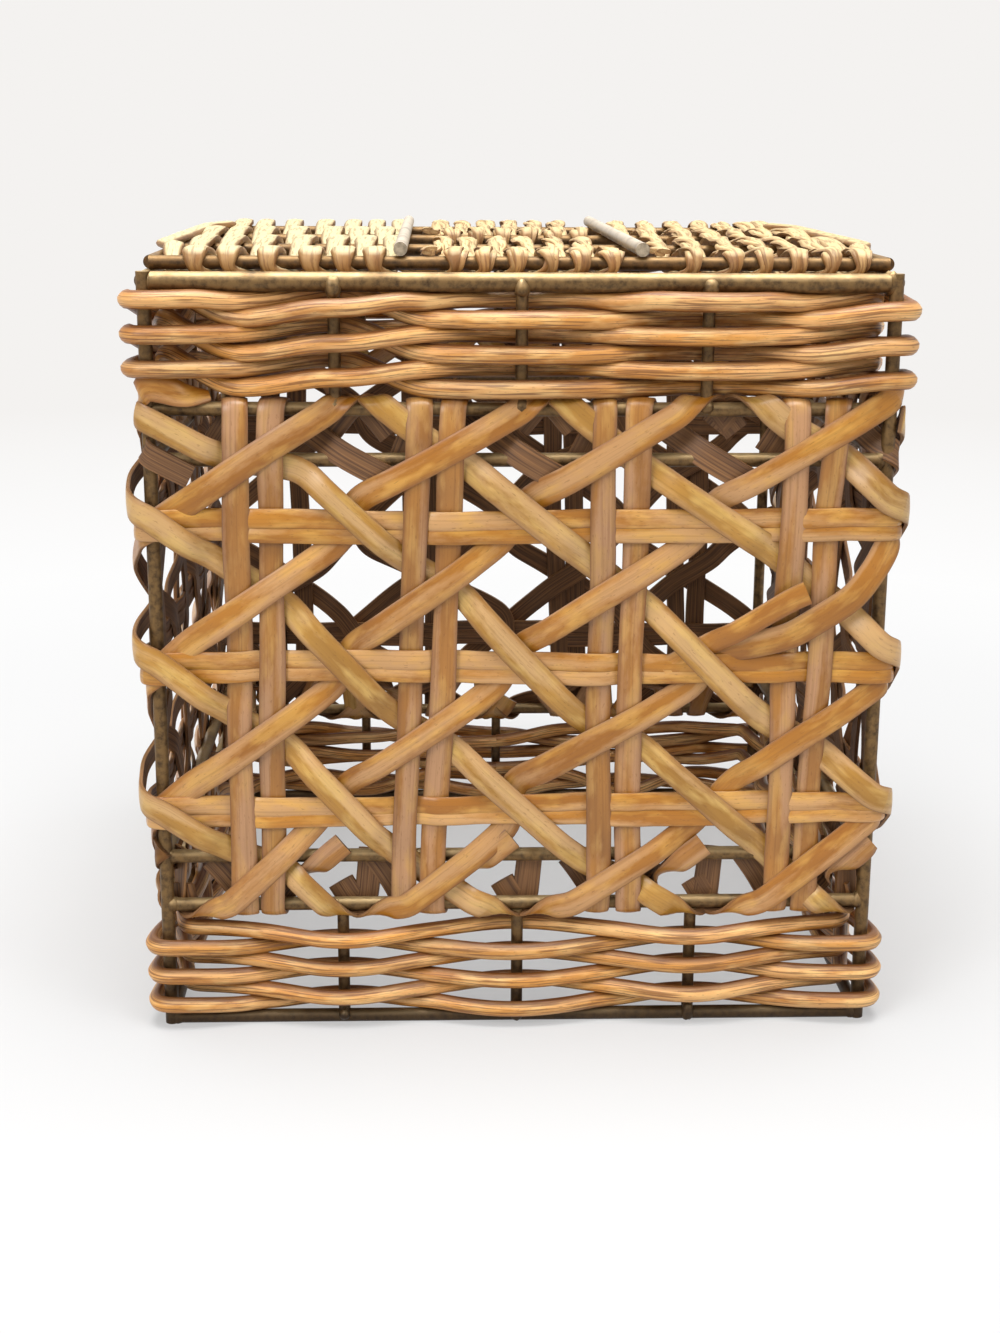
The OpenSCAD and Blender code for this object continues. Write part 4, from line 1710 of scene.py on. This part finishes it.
@dataclass(frozen=True)
class FloorPaper(Finish):
    """Matt white paper, which shows white to the camera but keeps part of the object's shadow.

    Its white turns to a pale grey with distance from the cover. The shadow's share fades out in
    the same way, and past it only the whiteness is left.
    """

    name: str = "matt_white_paper"
    white: float = 0.57
    shadow_share: float = 0.6

    def surface(self, tree: Tree) -> Any:
        """Adds the finish's nodes.

        Args:
            tree: The material's nodes.

        Returns:
            The shader's output.
        """
        place = add(tree, "ShaderNodeTexCoord", out="Object")
        away = add(tree, "ShaderNodeVectorMath", {0: place}, "Value", operation="LENGTH")
        shade = layered(tree, "#FFFFFF", [(away, 0.3, 0.85, 1, FAR_GREY)])
        both = {0: 1.0, 6: shade, 7: (self.white,) * 3 + (1,)}
        dimmed = add(tree, "ShaderNodeMix", both, 2, data_type="RGBA", blend_type="MULTIPLY")
        glow = add(tree, "ShaderNodeMapRange", {
            "Value": away, "From Min": 0.36, "From Max": 0.09,
            "To Min": 1.0, "To Max": 1 - self.shadow_share,
        })
        share = {0: see_white(tree), 1: glow}
        return add(tree, "ShaderNodeMixShader", {
            0: add(tree, "ShaderNodeMath", share, operation="MULTIPLY"),
            1: add(tree, "ShaderNodeBsdfDiffuse", {"Color": dimmed}),
            2: add(tree, "ShaderNodeEmission", {"Color": shade, "Strength": 1.0}),
        })


@dataclass(frozen=True)
class Studio:
    """A pale floor, soft lamps and a white surround, in metres and watts."""

    floor_half: float = 60.0
    world_strength: float = 0.22
    aim: tuple[float, float, float] = (0.0, 0.0, 0.07)
    lamps: tuple[tuple[str, tuple[float, float, float], float, float], ...] = (
        ("top_softbox", (0.0, -0.1, 1.15), 0.8, 19),
        ("left_softbox", (-0.8, -1.0, 0.9), 0.6, 9.5),
        ("right_softbox", (1.1, -0.9, 0.8), 0.6, 4.2),
    )

    def floor(self) -> None:
        """Adds the floor."""
        half = self.floor_half
        corners = [(-half, -half, 0), (half, -half, 0), (half, half, 0), (-half, half, 0)]
        floor = meshed("floor", corners, [(0, 1, 2, 3)], FloorPaper().material())

    def surround(self) -> None:
        """Sets the world: soft grey light for the object, near white for the camera."""
        world = bpy.data.worlds.new("studio")
        world.use_nodes = True
        tree = world.node_tree
        tree.nodes.clear()
        light, seen = (
            add(tree, "ShaderNodeBackground", {"Color": linear(code), "Strength": strength})
            for code, strength in (("#FFFFFF", self.world_strength), (FAR_GREY, 1.0))
        )
        both = add(tree, "ShaderNodeMixShader", {0: see_white(tree), 1: light, 2: seen})
        add(tree, "ShaderNodeOutputWorld", {"Surface": both})
        bpy.context.scene.world = world

    def lamp(self, name: str, place: tuple[float, ...], size: float, power: float) -> None:
        """Adds a square soft lamp, aimed at the middle of the cover.

        Args:
            name: Its name.
            place: Its place.
            size: Its side.
            power: Its power.
        """
        data = bpy.data.lights.new(name, "AREA")
        data.shape = "SQUARE"
        data.size = size
        data.energy = power
        turn = (Vector(self.aim) - Vector(place)).to_track_quat("-Z", "Y")
        linked(name, data).matrix_world = Matrix.Translation(place) @ turn.to_matrix().to_4x4()

    def build(self) -> None:
        """Makes the studio."""
        self.floor()
        self.surround()
        for lamp in self.lamps:
            self.lamp(*lamp)
        bpy.context.scene.view_settings.view_transform = "Standard"


def main() -> None:
    """Builds the cover's looks and the studio, in order, and reports each piece."""
    logging.basicConfig(level=logging.INFO, format="%(name)s: %(message)s")
    sizes = CoverSizes.from_frame()
    perimeter = Perimeter(half=sizes.post_half)
    camera = PhotoCamera()
    camera.make()
    band_material = BAND_REED.material()
    TwinedBand(
        "top_band", sizes, perimeter, Hand(11), reed_d=3.3, solid_reed_d=2.9,
        lift=(1.7, 0.4, -1.6, 1.6, 0.1), split=(2.8, 3.0, 3.2, -3.1, 2.8), slack=(-0.9, 0.1),
        fill=(2.4, 3.2), rails=((sizes.upper_z, sizes.rod_r), (sizes.rim_z, sizes.rim_r)),
        sides=14, grooves=0.05,
    ).build(band_material)
    TwinedBand(
        "bottom_band", sizes, perimeter, Hand(12), reed_d=3.0, solid_reed_d=2.8,
        lift=(-0.7, 0.6, -2.0, 0.8, -0.8), split=(2.0, -1.5, 4.0, -1.5, 2.5), slack=(-0.05, 1.6),
        fill=(0.4, 2.8), rails=((sizes.base_z, sizes.rod_r), (sizes.lower_z, sizes.rod_r)),
        sides=18, grooves=0.09,
    ).build(band_material)
    peels = (STANDING_PEEL, LEVEL_PEEL, CANE_PEEL, FALLING_PEEL)
    materials = {kind: peel.material() for kind, peel in zip(Cane, peels)}
    CanePanels(sizes, perimeter, camera, Hand(21), materials).build()
    WovenTop(sizes, camera, Hand(31), TOP_REED.material(), TOP_REED_TAN.material()).build()
    paints = [paint.material() for paint in (RodPaint(), WORN_PAINT, REED_SHADED_PAINT)]
    welded = WeldedFrame(sizes, Hand(41), *paints)
    welded.dress()
    welded.build()
    Studio().build()


if __name__ == "__main__":
    main()
